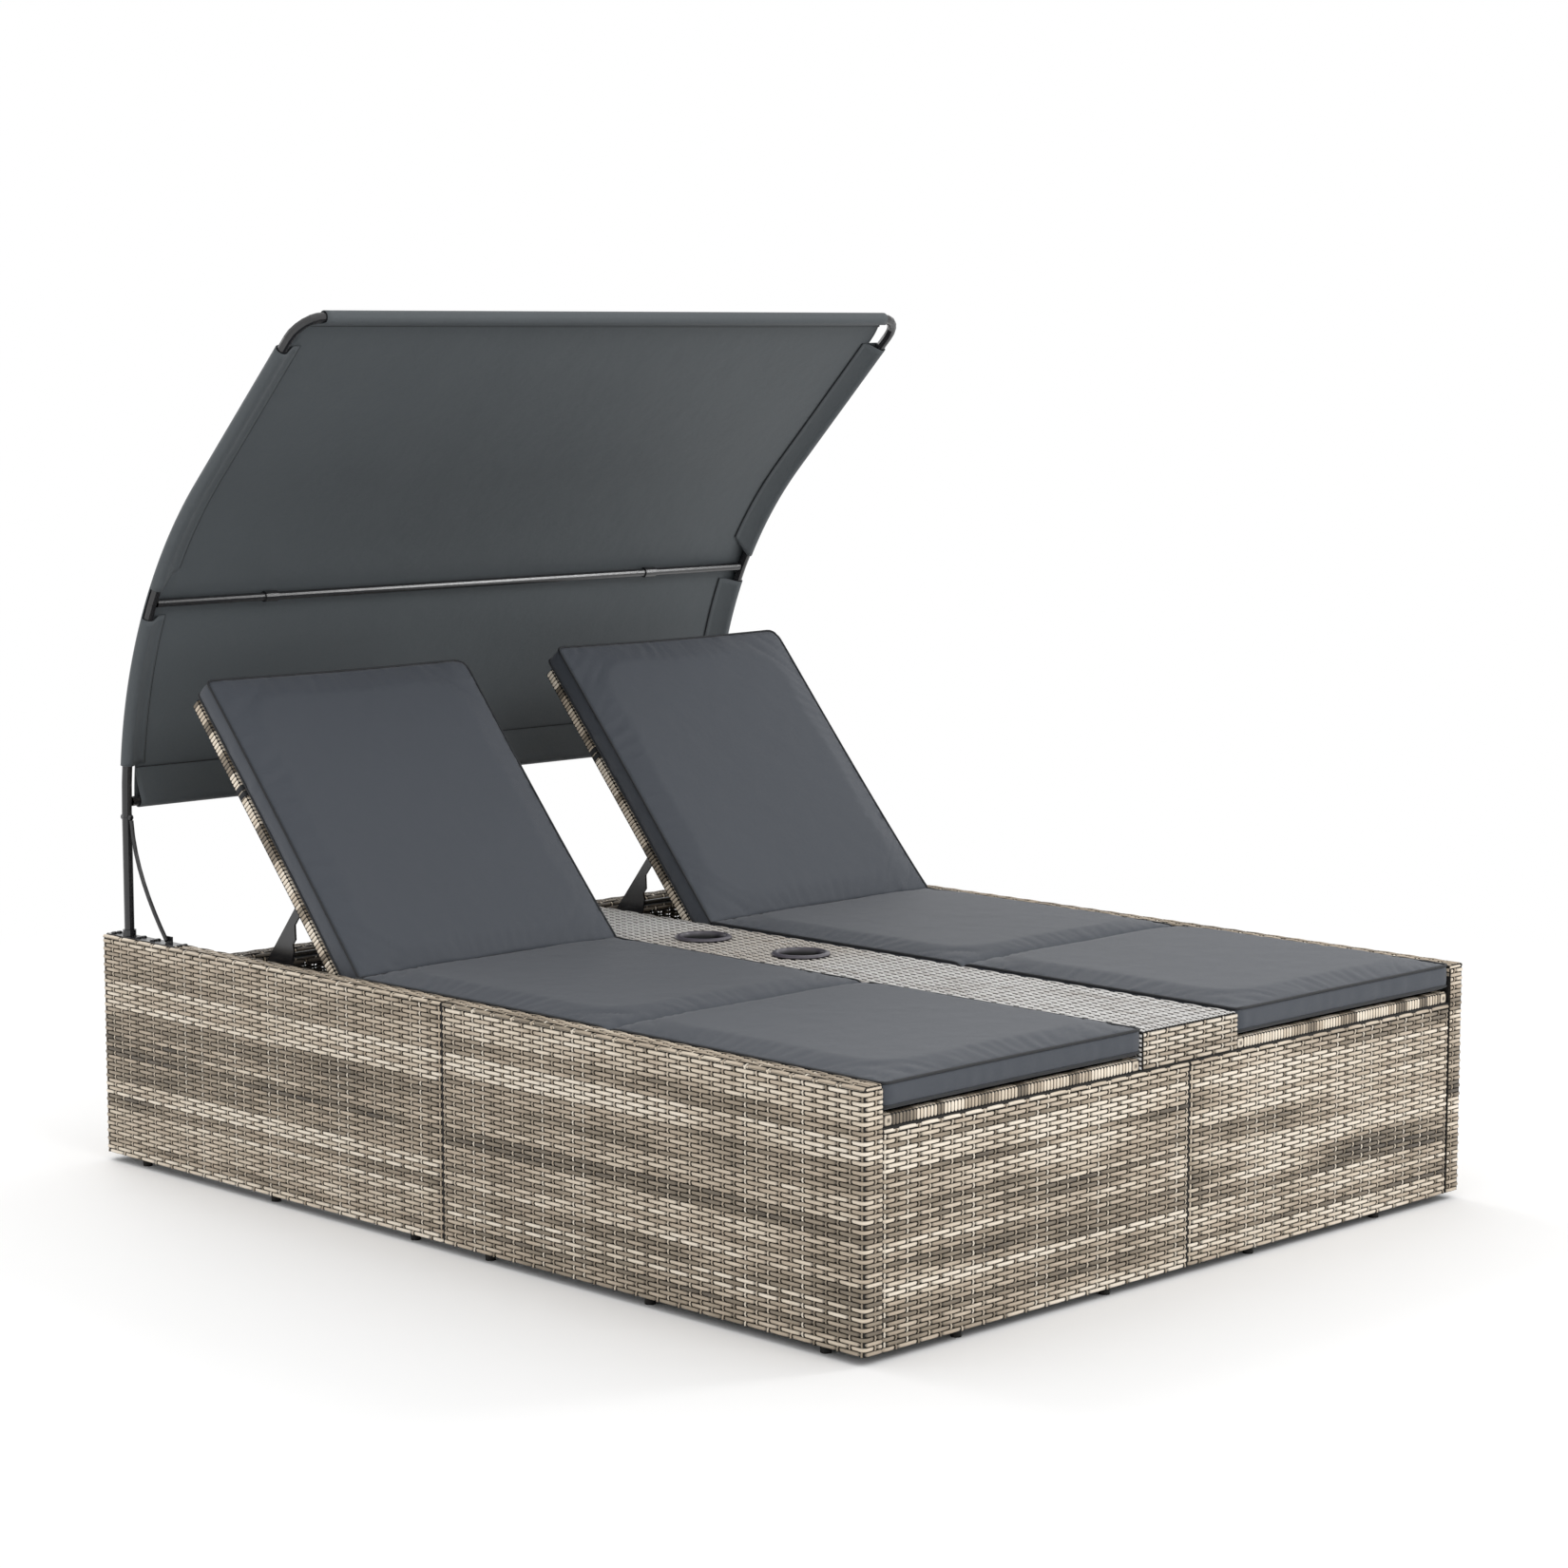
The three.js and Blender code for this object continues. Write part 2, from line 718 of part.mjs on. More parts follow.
function archStations(fromDegrees, toDegrees, x, offset = 0) {
  const count = Math.max(1, Math.ceil((archSteps * (toDegrees - fromDegrees)) / archEndAngle));
  return Array.from({ length: count + 1 }, (_, index) => {
    const degrees = fromDegrees + ((toDegrees - fromDegrees) * index) / count;
    const direction = archDirection(degrees);
    const outward = new THREE.Vector3(0, direction.z, -direction.y);
    const point = archPoint(degrees).addScaledVector(outward, offset).setX(x);
    return { point, direction };
  });
}

function upright(x, fromZ, toZ) {
  const direction = new THREE.Vector3(0, 0, 1);
  return [fromZ, toZ].map((z) => ({ point: new THREE.Vector3(x, postY, z), direction }));
}

function canopyPost(name, side) {
  const stations = upright(side * postX, plateTop + fit, postJointHeight - fit);
  return named(name, tubeAlong(stations, tubeRadius, tubeRadius - tubeWall, tubeSides), steel);
}

function canopySideTube(name, side) {
  const x = side * postX;
  const start = upright(x, postJointHeight, archStartHeight).slice(0, 1);
  const stations = [...start, ...archStations(0, midBarAngle, x)];
  return named(name, tubeAlong(stations, tubeRadius, tubeRadius - tubeWall, tubeSides), steel);
}

// The upper hoop: up one side, round a corner, across the top and down the other side
function canopyHoop(name) {
  const jointGap = THREE.MathUtils.radToDeg(fit / archRadius);
  const rise = archDirection(archEndAngle);
  const side = archStations(midBarAngle + jointGap, archEndAngle, -postX);
  const across = new THREE.Vector3(1, 0, 0);
  const bendStart = cornerPlace.clone().setX(-postX).addScaledVector(rise, -cornerRadius);
  const bend = Array.from({ length: cornerSteps + 1 }, (_, index) => {
    const angle = (Math.PI * index) / (2 * cornerSteps);
    const point = bendStart.clone()
      .addScaledVector(rise, cornerRadius * Math.sin(angle))
      .addScaledVector(across, cornerRadius * (1 - Math.cos(angle)));
    const direction = rise.clone().multiplyScalar(Math.cos(angle)).addScaledVector(across, Math.sin(angle));
    return { point, direction };
  });
  const left = [...side, ...bend];
  const right = left.map(({ point, direction }) => ({
    point: point.clone().setX(-point.x),
    direction: new THREE.Vector3(direction.x, -direction.y, -direction.z),
  }));
  const stations = [...left, ...right.reverse()];
  return named(name, tubeAlong(stations, tubeRadius, tubeRadius - tubeWall, tubeSides), steel);
}

function canopyMidBar(name) {
  const reach = postX - tubeRadius - fit;
  const collar = (x) => [
    [x - collarLength / 2, midBarRadius],
    [x - collarLength / 2, collarRadius],
    [x + collarLength / 2, collarRadius],
    [x + collarLength / 2, midBarRadius],
  ];
  const profile = [[-reach, midBarRadius], ...collar(-collarX), ...collar(collarX), [reach, midBarRadius]];
  const mesh = named(name, turnedTube(profile, tubeWall), steel);
  mesh.position.copy(archPoint(midBarAngle));
  return mesh;
}

function canopyRearBar(name) {
  const reach = postX - tubeRadius - fit;
  const mesh = named(name, turnedTube([[-reach, tubeRadius], [reach, tubeRadius]], tubeWall), steel);
  mesh.position.set(0, postY, rearBarHeight);
  return mesh;
}

// A post's foot plate on the side panel, with a socket for the post and an ear for the brace
function postPlate(name, side) {
  const headY = halfLength - plateEndInset;
  const base = panelTop + fit;
  const plate = boxBetween(
    [postX - plateWidth / 2, headY - plateLength, base],
    [postX + plateWidth / 2, headY, plateTop],
  );
  const boreRadius = tubeRadius + fit;
  const socket = rodUp(boreRadius + socketWall, postX, postY, base, plateTop + socketHeight, tubeSides);
  const bore = rodUp(boreRadius, postX, postY, plateTop, plateTop + socketHeight + overrun, tubeSides);
  const earX = postX - braceRadius - fit;
  const ear = boxBetween(
    [earX - earThickness, braceFootY - earLength / 2, base],
    [earX, braceFootY + earLength / 2, plateTop + earHeight],
  );
  const geometry = cut(joined(plate, socket, ear), bore);
  return named(name, side > 0 ? geometry : mirrored(geometry), steel);
}

function mirrored(geometry) {
  const flipped = geometry.clone().applyMatrix4(new THREE.Matrix4().makeScale(-1, 1, 1));
  const order = flipped.index.array;
  for (let corner = 0; corner < order.length; corner += 3) {
    [order[corner], order[corner + 1]] = [order[corner + 1], order[corner]];
  }
  flipped.computeVertexNormals();
  return flipped;
}

function canopyBrace(name, side) {
  const x = side * postX;
  const footHeight = plateTop + fit + braceRadius;
  const curve = new THREE.QuadraticBezierCurve3(
    new THREE.Vector3(x, postY - tubeRadius - fit - braceRadius, panelTop + braceTopRise),
    new THREE.Vector3(x, postY - braceBendReach, panelTop + braceBendRise),
    new THREE.Vector3(x, braceFootY, footHeight),
  );
  const geometry = new THREE.ExtrudeGeometry(ringShape(braceRadius, 0, tubeSides), {
    steps: braceSteps,
    extrudePath: curve,
    bevelEnabled: false,
  });
  return named(name, geometry, steel);
}

// The canopy cloth. A strip of the sheet is drawn from the side and spans a given width.
function clothStrip(inner, outer, reach) {
  const outline = [...inner, ...outer.reverse()].map(({ point }) => [point.y, point.z]);
  return plateAcross(outline, -reach, reach);
}

function legStation(distance, x, offset) {
  const rise = archDirection(archEndAngle);
  const outward = new THREE.Vector3(0, rise.z, -rise.y);
  const point = archPoint(archEndAngle).addScaledVector(rise, distance).addScaledVector(outward, offset);
  return { point: point.setX(x), direction: rise };
}

function canopyCloth(name) {
  const innerRadius = tubeRadius + sleeveGap;
  const outerRadius = innerRadius + clothThickness;
  const sleeveStart = archAngleAt(sleeveStartHeight);
  const hemStart = archAngleAt(rearBarHeight);
  const sleeveEnd = archLeg - sleeveCornerGap;
  const edge = (offset, from, to) => [
    ...archStations(from, archEndAngle, 0, offset),
    legStation(to, 0, offset),
  ];
  const hemReach = postX - tubeRadius - rearHemEndGap;
  const topReach = postX - topHemCornerGap;
  const main = clothStrip(edge(innerRadius, sleeveStart, sleeveEnd), edge(outerRadius, sleeveStart, sleeveEnd), postX);
  const full = clothStrip(
    edge(innerRadius, hemStart, archLeg),
    edge(outerRadius, hemStart, archLeg),
    Math.min(hemReach, topReach),
  );
  const sleeves = [-postX, postX].map((x) => tubeAlong(
    [...archStations(sleeveStart, archEndAngle, x), legStation(sleeveEnd, x, 0)],
    outerRadius,
    innerRadius,
    sleeveSides,
  ));
  const hem = (reach, y, z) => turnedTube([[-reach, outerRadius], [reach, outerRadius]], clothThickness)
    .translate(0, y, z);
  const rearHem = hem(hemReach, postY, rearBarHeight);
  const topHem = hem(topReach, cornerPlace.y, cornerPlace.z);
  const bar = archPoint(midBarAngle);
  const slits = [-1, 1].map((side) => {
    const ends = [side * postX, side * (postX - sleeveSlitLength)].sort((first, second) => first - second);
    return rodAcross(midBarRadius + sleeveSlitGap, ends[0], ends[1], bar.y, bar.z, tubeSides);
  });
  return named(name, cut(joined(main, full, ...sleeves, rearHem, topHem), ...slits), canopyFabric);
}

function named(name, geometry, material) {
  const mesh = new THREE.Mesh(geometry, material);
  mesh.name = name;
  return mesh;
}

// The assembly
const daybed = new THREE.Group();
for (const [sideName, side] of [['left', -1], ['right', 1]]) {
  for (const [endName, end] of [['foot', -1], ['head', 1]]) {
    daybed.add(sidePanel(`${sideName}_side_panel_${endName}`, side, end));
    daybed.add(endPanel(`${endName}_end_panel_${sideName}`, side, end));
  }
  daybed.add(catchRod(`${sideName}_catch_rod`, side));
  daybed.add(lounger(sideName, side));
  daybed.add(postPlate(`${sideName}_post_plate`, side));
  daybed.add(canopyPost(`${sideName}_canopy_post`, side));
  daybed.add(canopySideTube(`${sideName}_canopy_side_tube`, side));
  daybed.add(canopyBrace(`${sideName}_canopy_brace`, side));
}
for (const [endName, end] of [['foot', -1], ['head', 1]]) {
  const cupY = cupMiddle + (end * cupSpacing) / 2;
  daybed.add(consoleHalf(`console_${endName}`, end, cupY));
  daybed.add(cupHolder(`cup_holder_${endName}`, cupY));
}
daybed.add(crossBeam('mid_cross_beam', 0, innerWallX - fit));
daybed.add(crossBeam('hinge_cross_beam', hingeY - hingeBeamReach, innerSkinX - fit));
daybed.add(centreLeg('mid_centre_leg', 0, bearingTop - beamHeight - fit));
daybed.add(centreLeg('head_centre_leg', catchRodY, consoleTop - weaveSkin - fit));
daybed.add(canopyHoop('canopy_hoop'));
daybed.add(canopyMidBar('canopy_mid_bar'));
daybed.add(canopyRearBar('canopy_rear_bar'));
daybed.add(canopyCloth('canopy_cloth'));

export default daybed;
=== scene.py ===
import json
import math

import bpy
import numpy as np
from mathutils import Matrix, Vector


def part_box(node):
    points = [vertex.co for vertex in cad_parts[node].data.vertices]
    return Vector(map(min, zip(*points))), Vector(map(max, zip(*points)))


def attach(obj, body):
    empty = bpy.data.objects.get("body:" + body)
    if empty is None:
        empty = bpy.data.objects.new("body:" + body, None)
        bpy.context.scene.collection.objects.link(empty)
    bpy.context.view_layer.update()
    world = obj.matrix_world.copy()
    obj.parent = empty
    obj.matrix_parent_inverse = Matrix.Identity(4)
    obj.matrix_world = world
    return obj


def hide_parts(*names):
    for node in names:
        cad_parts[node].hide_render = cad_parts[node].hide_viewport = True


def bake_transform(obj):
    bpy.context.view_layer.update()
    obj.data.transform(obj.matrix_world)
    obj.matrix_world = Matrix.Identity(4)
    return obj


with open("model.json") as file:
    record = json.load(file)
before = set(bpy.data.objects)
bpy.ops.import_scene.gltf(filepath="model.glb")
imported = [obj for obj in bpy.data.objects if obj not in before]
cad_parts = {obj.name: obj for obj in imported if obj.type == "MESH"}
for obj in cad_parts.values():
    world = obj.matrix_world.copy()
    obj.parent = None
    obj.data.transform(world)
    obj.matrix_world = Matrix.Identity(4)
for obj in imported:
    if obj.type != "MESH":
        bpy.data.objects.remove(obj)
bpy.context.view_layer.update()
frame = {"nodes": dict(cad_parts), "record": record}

# The daybed's looks: woven panels, wrapped rails, cushions, canopy cloth, trims and materials.
# Metres, in the frame of the solids. X runs across the bed, Y to the head end, Z is up.

# The camera that took the photograph, found from the corners of the base
CAMERA_PLACE = (-4.69694, -4.75841, 1.5726)
CAMERA_YAW = 0.78357
CAMERA_PITCH = 0.12374
CAMERA_LENS = 83.924
CAMERA_SENSOR = 36.0

# Weave: flat strands in rows over and under ribs
ROW_PITCH = 0.0077
RIB_PITCH = 0.0255
STRAND_WIDTH = 0.0070
CONSOLE_WIDTH = 0.0058
TIGHT_WIDTH = 0.0079
STRAND_THICKNESS = 0.0024
STRAND_SECTION = ((-0.5, -0.5), (-0.36, 0.12), (0.0, 0.5), (0.36, 0.12), (0.5, -0.5))
# Painted shade: each strand's colour darkens towards its edges, more so on the console
PAINTED_EDGE_SHADES = (0.14, 0.80, 1.0, 0.80, 0.14)
CONSOLE_PAINTED_EDGE_SHADES = (0.08, 0.60, 1.0, 0.60, 0.08)
RIB_WIDTH = 0.0043
RIB_THICKNESS = 0.0020
WEAVE_LIFT = 0.0009
ROW_HIGH = 0.0016
ROW_CROWN = 0.0023
ROW_MIDDLE = -0.0002
ROW_LOW = -0.0022
RIB_HIGH = 0.0014
RIB_LOW = -0.0016
DIP_HALF = 0.0074
DIP_SLOPE = 0.0048
DIP_WIDTH_SHARE = 0.42
SLOPE_WIDTH_SHARE = 0.78
# Painted shade: a row's colour darkens on the slopes into a dip and most in the dip under a rib
DIP_PAINTED_SHADE = 0.05
SLOPE_PAINTED_SHADE = 0.50
CUT_STEP = 0.001

# Edges, seams and tubes of the woven panels
SEAM_GAP = 0.0016
SEAM_INSET = 0.0034
RAIL_SHADOW_GAP = 0.0042
GLIDE_HEIGHT = 0.015
GLIDE_RADIUS = 0.009
GLIDE_INSET = 0.190
PANEL_TUBE = 0.020
PANEL_TUBE_COVER = 0.004
HEAD_RIM_TONE = 0.02
HEAD_RIM_RETURN = 0.030
HEAD_REST_GAP = 0.0064
CUP_RIM_COVER = 0.007
SIDE_RIM_TONE = 0.5
TOP_TONE_RISE = 0.08
RIM_RISE = 0.003
RIM_SINK = 0.0004
CORNER_RADIUS = 0.006
CORNER_STEPS = 5
SEAM_RETURN = 0.012
TOP_RETURN = 0.02

# Wound rails of the loungers
WRAP_PITCH = 0.0078
# Each turn: share of the pitch, swell of the section and tone shift; the darker shifts at the grooves are
# painted shade
WRAP_PROFILE = ((0.0, -0.0009, -0.9), (0.10, 0.0004, -0.2), (0.24, 0.0013, 0.0), (0.5, 0.0017, 0.06),
                (0.76, 0.0013, 0.0), (0.90, 0.0004, -0.2), (0.995, -0.0009, -0.9))
WRAP_END = ((-0.0010, 0.62, 0.3), (-0.0016, 0.12, -0.4))
WRAP_RUNS = (((5, 8), (0.9, 1.0, 0.78)), ((2, 4), (0.18, 0.34)), ((3, 5), (0.56, 0.7)))
BAY_CENTRE = 0.4325
FRAME_HALF_WIDTH = 0.3035
FRAME_FOOT_Y = -0.998
FRAME_HEAD_Y = 0.294
RAIL_HALF = 0.0095
RAIL_CORNER = 0.005
RAIL_Z = 0.3758
HINGE_Y = 0.308
BACK_LENGTH = 0.680
LOWER_RAIL_REACH = 0.024
DECK_DROP = 0.001
DECK_THICKNESS = 0.006

# How strand tones vary
RIB_TONES = (0.38, 0.58, 0.78, 1.0)
RIB_SHARES = (0.24, 0.28, 0.27, 0.21)
ROW_NOISE = 0.07
END_ROW_NOISE = 0.13
STREAK_NOISE = 0.10
STREAKS_PER_PATCH = 4
PATCHINESS = 0.10
END_PATCHINESS = 0.24
ROWS_PER_PATCH = 4
PATCH_LENGTH = 0.24
PATCH_COUNT = 9

# Cushions
PIPING_RADIUS = 0.0025
PIPING_SIDES = 6
PIPING_OUT = 0.0008
CUSHION_CELL = 0.008
SEAT_WIDTH = 0.611
BACK_WIDTH = 0.612
SEAT_CORNERS = (0.010, 0.010, 0.001, 0.001)
BACK_CORNERS = (0.001, 0.001, 0.010, 0.023)
CUSHION_WALL = 0.0400
CUSHION_CROWN = 0.012
CUSHION_DRAW_IN = 0.003
SWELL_POWER = 3.0
START_SHARE = 0.5
CROWN_SPARE = 0.003
CUSHION_MOVE_LIMIT = 0.016
CLOTH_FRAMES = 20
CLOTH_SETTINGS = {
    "quality": 6,
    "mass": 0.2,
    "tension_stiffness": 12.0,
    "compression_stiffness": 6.0,
    "shear_stiffness": 4.0,
    "bending_stiffness": 0.08,
    "shrink_min": -0.01,
    "shrink_max": -0.01,
    "vertex_group_mass": "seams",
    "use_pressure": True,
    "uniform_pressure_force": 4.0,
}
CHANNEL_DEPTH = 0.012
CHANNEL_REACH = 0.0055
SEAT_CHANNEL = 0.49
PUCKER_CELLS = 2.1
PUCKER_HEIGHT = 0.0011
PUCKER_REACH = 0.024
PUCKER_START = 0.008
WALL_LEVELS = 6
SIDE_REACH = 0.012
WALL_BULGE = 0.0022
WALL_WRINKLE = 0.0006
HALF_LENGTH = 1.0
FIT = 0.0003
SEAT_END_GAP = 0.012
CREASE_Y = 0.286
CREASE_OVERLAP = 0.002
BACK_PAD_START = 0.020
BACK_PAD_LIP = 0.0257
BACK_PAD_OVERHANG = {"left": 0.008, "right": 0.018}
BACK_PAD_SHIFT = {"left": 0.002, "right": -0.002}
BACK_FRONT_LIFT = 0.0034
FRONT_LIFT_POWER = 6
SEAT_RISE = 0.0022
SEAM_RISE = 0.0078
BELLY_REACH = 0.027
BLEND_START = 0.010
BLEND_END = 0.078
BLEND_OUT = 0.035

# Cup holders
CUP_STEPS = 72
CUP_RISE = 0.0012
CUP_PROFILE = (
    (0.001, -0.0725), (0.0300, -0.0725), (0.0335, -0.0715), (0.0350, -0.0680), (0.0412, -0.0060),
    (0.0422, 0.0004), (0.0434, 0.0030), (0.0448, 0.0044), (0.0465, 0.0049), (0.0500, 0.0042),
    (0.0528, 0.0030), (0.0541, 0.0016), (0.0544, 0.0002), (0.0538, -0.0012), (0.0440, -0.0012),
    (0.0430, -0.0040), (0.0374, -0.0700), (0.0357, -0.0742), (0.0310, -0.0750), (0.001, -0.0750),
)

# Canopy
POST_X = 0.761
POST_Y = 0.943
ARCH_START_Z = 0.675
ARCH_RADIUS = 0.869
ARCH_END = math.radians(45)
MID_BAR_ANGLE = math.radians(27)
ARCH_LEG = 0.430
REAR_BAR_Z = 0.691
SLEEVE_START_Z = 0.760
SLEEVE_RADIUS = 0.0117
CLOTH_THICKNESS = 0.0016
LAYER_GAP = 0.0028
FLAP_ROWS = 3
MID_BAR_LIFT = 0.0018
MID_BAR_LIFT_REACH = 0.030
SLEEVE_CORNER_GAP = 0.080
SLEEVE_FLAP = 0.045
SLEEVE_STITCH = 0.031
HEM_FLAP = 0.030
HEM_STITCH = 0.022
REAR_HEM_FLAP = 0.062
REAR_HEM_STITCH = 0.054
THREAD_RADIUS = 0.0012
THREAD_SIDES = 6
THREAD_LEAN = 0.01
WRAP_ANGLES = (-50, -270)
WRAP_STEPS = 12
SHEET_CELL = 0.012
SLOT_HALF = 0.032
SLOT_REACH = -0.002
EDGE_INSET = 0.0255
TOP_HEM_INSET = 0.050
CORNER_CURVE = 2.4
FLAP_CUT_FROM = 0.005
FLAP_CUT = 0.038
FLAP_CUT_FADE = 0.07
LOWER_SAG = 0.004
UPPER_SAG = 0.006
SAG_POWER = 4
RIPPLE = 0.0008
RIPPLE_CELLS = 9.0

# Straps, screws and bolts
STRAP_HALF = 0.0116
STRAP_SHIFT = 0.0006
STRAP_CORNER = 0.006
STRAP_PLACE = 0.462
STRAP_WIDTH = 0.011
STRAP_FOLD = 0.013
SCREW_SIDES = 14
PLATE_THICKNESS = 0.003
PLATE_CLEARANCE = 0.001
SCREW_INSET = 0.009
SCREW_PLACES = (0.985, 0.905, 0.860, 0.775)
SCREW_PROFILE = ((-0.001, 0.0055), (0.0020, 0.0055), (0.0034, 0.0042), (0.0038, 0.0015))
BOLT_PROFILE = ((-0.001, 0.0060), (0.0030, 0.0060), (0.0048, 0.0046), (0.0054, 0.0015))
POST_RADIUS = 0.0095
JOINT_BOLT_Z = 0.662

# Colours as they look on screen
LIGHT = (0.985, 0.94, 0.87)
BEIGE = (0.915, 0.86, 0.78)
TAN = (0.775, 0.713, 0.632)
GREY_BROWN = (0.58, 0.53, 0.46)
DARK_STRAND = (0.37, 0.335, 0.29)
TONE_STEPS = (0.0, 0.35, 0.6, 0.82, 1.0)
TONES = (DARK_STRAND, GREY_BROWN, TAN, BEIGE, LIGHT)
GREYER_TONES = (
    (0.36, 0.34, 0.32), (0.53, 0.505, 0.48), (0.70, 0.67, 0.64), (0.88, 0.865, 0.85), (0.975, 0.97, 0.96),
)
CONSOLE_TONES = (1.0, 1.0, 0.95, 0.86)
CONSOLE_SHARES = (0.35, 0.3, 0.2, 0.15)
CONSOLE_PATCHINESS = 0.05
CUP_TONE = 0.62
CUP_TONE_SHARE = 0.45
CUP_TONE_REACH = 0.22
CUP_TONE_POWER = 4
CUSHION_COLOUR = (0.228, 0.246, 0.276)
CANOPY_COLOUR = (0.284, 0.304, 0.317)
# Painted shade: the piping and the canopy's edge cords are darker than the cloth itself, for the shade at
# seams and edges
PAINTED_SEAM_SHADE_COLOUR = (0.115, 0.122, 0.136)
STEEL_COLOUR = (0.105, 0.105, 0.115)
PLASTIC_COLOUR = (0.30, 0.285, 0.315)
# Painted shade inside the cups' wells
PAINTED_WELL_SHADE = (0.035, 0.033, 0.038)
LIP_DEPTH = 0.003
WRINKLE_SCALE = 16.0
FOLD_HEIGHT = 0.006
FOLD_STRENGTH = 0.35
# Painted shade of the woven panels' hollow inside
PAINTED_SHADE_UNDERLAY_COLOUR = (0.07, 0.058, 0.047)
WEBBING_COLOUR = (0.13, 0.135, 0.145)

# Tone bands of the woven panels, from the top edge down, as shares of the height
HEAD_SIDE_BANDS = (
    (0.00, 0.74), (0.045, 0.56), (0.19, 0.98), (0.23, 0.72), (0.27, 0.94), (0.31, 0.34), (0.385, 0.52),
    (0.50, 0.36), (0.54, 0.56), (0.65, 0.88), (0.73, 0.42), (0.77, 0.78), (0.92, 0.42), (0.96, 0.94),
)
FOOT_SIDE_BANDS = (
    (0.00, 0.88), (0.08, 0.72), (0.12, 0.44), (0.19, 0.86), (0.27, 0.46), (0.36, 0.34), (0.39, 0.64),
    (0.50, 0.34), (0.58, 0.80), (0.65, 0.50), (0.69, 0.62), (0.74, 0.34), (0.81, 0.90), (0.83, 0.35),
    (0.85, 0.90), (0.87, 0.35), (0.885, 0.70), (0.905, 0.28), (0.94, 0.52),
)
FOOT_END_BANDS = (
    (0.00, 0.57), (0.065, 0.86), (0.19, 0.50), (0.235, 0.86), (0.31, 0.65), (0.47, 0.77), (0.56, 0.55),
    (0.67, 0.37), (0.71, 0.86), (0.76, 0.62), (0.84, 0.39), (0.88, 0.72),
)
CONSOLE_BANDS = ((0.00, 0.84), (0.5, 0.78))

# Lighting
WORLD_LIGHT = 0.95
LAMPS = {
    "front_lamp": ((-0.6, -4.6, 4.4), 2.6, 62.0),
    "right_lamp": ((3.4, -2.6, 2.9), 0.9, 38.0),
    "head_lamp": ((0.0, 4.5, 4.0), 4.0, 120.0),
}
LAMP_AIM = (0.0, 0.0, 0.6)
FLOOR_COLOUR = (0.88, 0.88, 0.88, 1.0)
FLOOR_RADIUS = 30.0
FLOOR_FADE = (1.6, 3.4)

WHITE = (1.0, 1.0, 1.0, 1.0)
UP = np.array((0.0, 0.0, 1.0))
NEARLY_UPRIGHT = 0.9
TINY = 1e-6
RECLINE = math.radians(49)
SIDES = {-1: "left", 1: "right"}
ENDS = ("foot", "head")

rng = np.random.default_rng(4)


# Materials


def linear(colour):
    """A screen colour as the linear values that shaders take."""
    channel = [c / 12.92 if c <= 0.04045 else ((c + 0.055) / 1.055) ** 2.4 for c in colour]
    return (*channel, 1.0)


class Shader:
    """A new material with its Principled shader and small helpers for adding nodes."""

    def __init__(self, name, roughness, **levels):
        self.material = bpy.data.materials.new(name)
        self.material.use_nodes = True
        self.nodes = self.material.node_tree.nodes
        self.link = self.material.node_tree.links.new
        self.surface = self.nodes["Principled BSDF"]
        self.surface.inputs["Roughness"].default_value = roughness
        for label, value in levels.items():
            self.surface.inputs[label.replace("_", " ")].default_value = value

    def add(self, kind, **values):
        """A node, with values for its sockets or its own settings."""
        node = self.nodes.new(kind)
        for label, value in values.items():
            if label in node.inputs:
                node.inputs[label].default_value = value
            else:
                setattr(node, label, value)
        return node

    def place(self):
        """Places in the object's own coordinates, in metres."""
        return self.add("ShaderNodeTexCoord").outputs["Object"]

    def noise(self, scale, detail=3.0):
        noise = self.add("ShaderNodeTexNoise", Scale=scale, Detail=detail)
        self.link(self.place(), noise.inputs["Vector"])
        return noise.outputs["Fac"]

    def waves(self, scale, direction):
        """Even bands that follow one another in a direction."""
        wave = self.add("ShaderNodeTexWave", Scale=scale, bands_direction=direction)
        self.link(self.place(), wave.inputs["Vector"])
        return wave.outputs["Fac"]

    def mixed(self, factor, first, second):
        """A colour between two others."""
        mix = self.add("ShaderNodeMix", data_type="RGBA")
        self.link(factor, mix.inputs["Factor"])
        for value, socket in ((first, mix.inputs["A"]), (second, mix.inputs["B"])):
            if isinstance(value, tuple):
                socket.default_value = value
            else:
                self.link(value, socket)
        return mix.outputs["Result"]

    def tinted(self, factor, colour, darker, lighter):
        """A colour that wanders between a darker and a lighter tone of itself."""
        return self.mixed(factor, shaded(colour, darker), shaded(colour, lighter))

    def ranged(self, value, low, high):
        """A 0 to 1 value spread between low and high."""
        spread = self.add("ShaderNodeMapRange")
        spread.inputs["To Min"].default_value = low
        spread.inputs["To Max"].default_value = high
        self.link(value, spread.inputs["Value"])
        return spread.outputs["Result"]

    def bump(self, height, distance, strength, folds=None):
        """Fine relief, over broad soft folds where they are given."""
        bump = self.add("ShaderNodeBump", Distance=distance, Strength=strength)
        self.link(height, bump.inputs["Height"])
        if folds:
            broad = self.add("ShaderNodeBump", Distance=FOLD_HEIGHT, Strength=FOLD_STRENGTH)
            self.link(folds, broad.inputs["Height"])
            self.link(broad.outputs["Normal"], bump.inputs["Normal"])
        self.link(bump.outputs["Normal"], self.surface.inputs["Normal"])

    def colour(self, value):
        self.link(value, self.surface.inputs["Base Color"])

    def roughness(self, value):
        self.link(value, self.surface.inputs["Roughness"])


def shaded(colour, factor):
    """A screen colour made darker or lighter, as linear values."""
    return linear(tuple(min(1.0, c * factor) for c in colour))


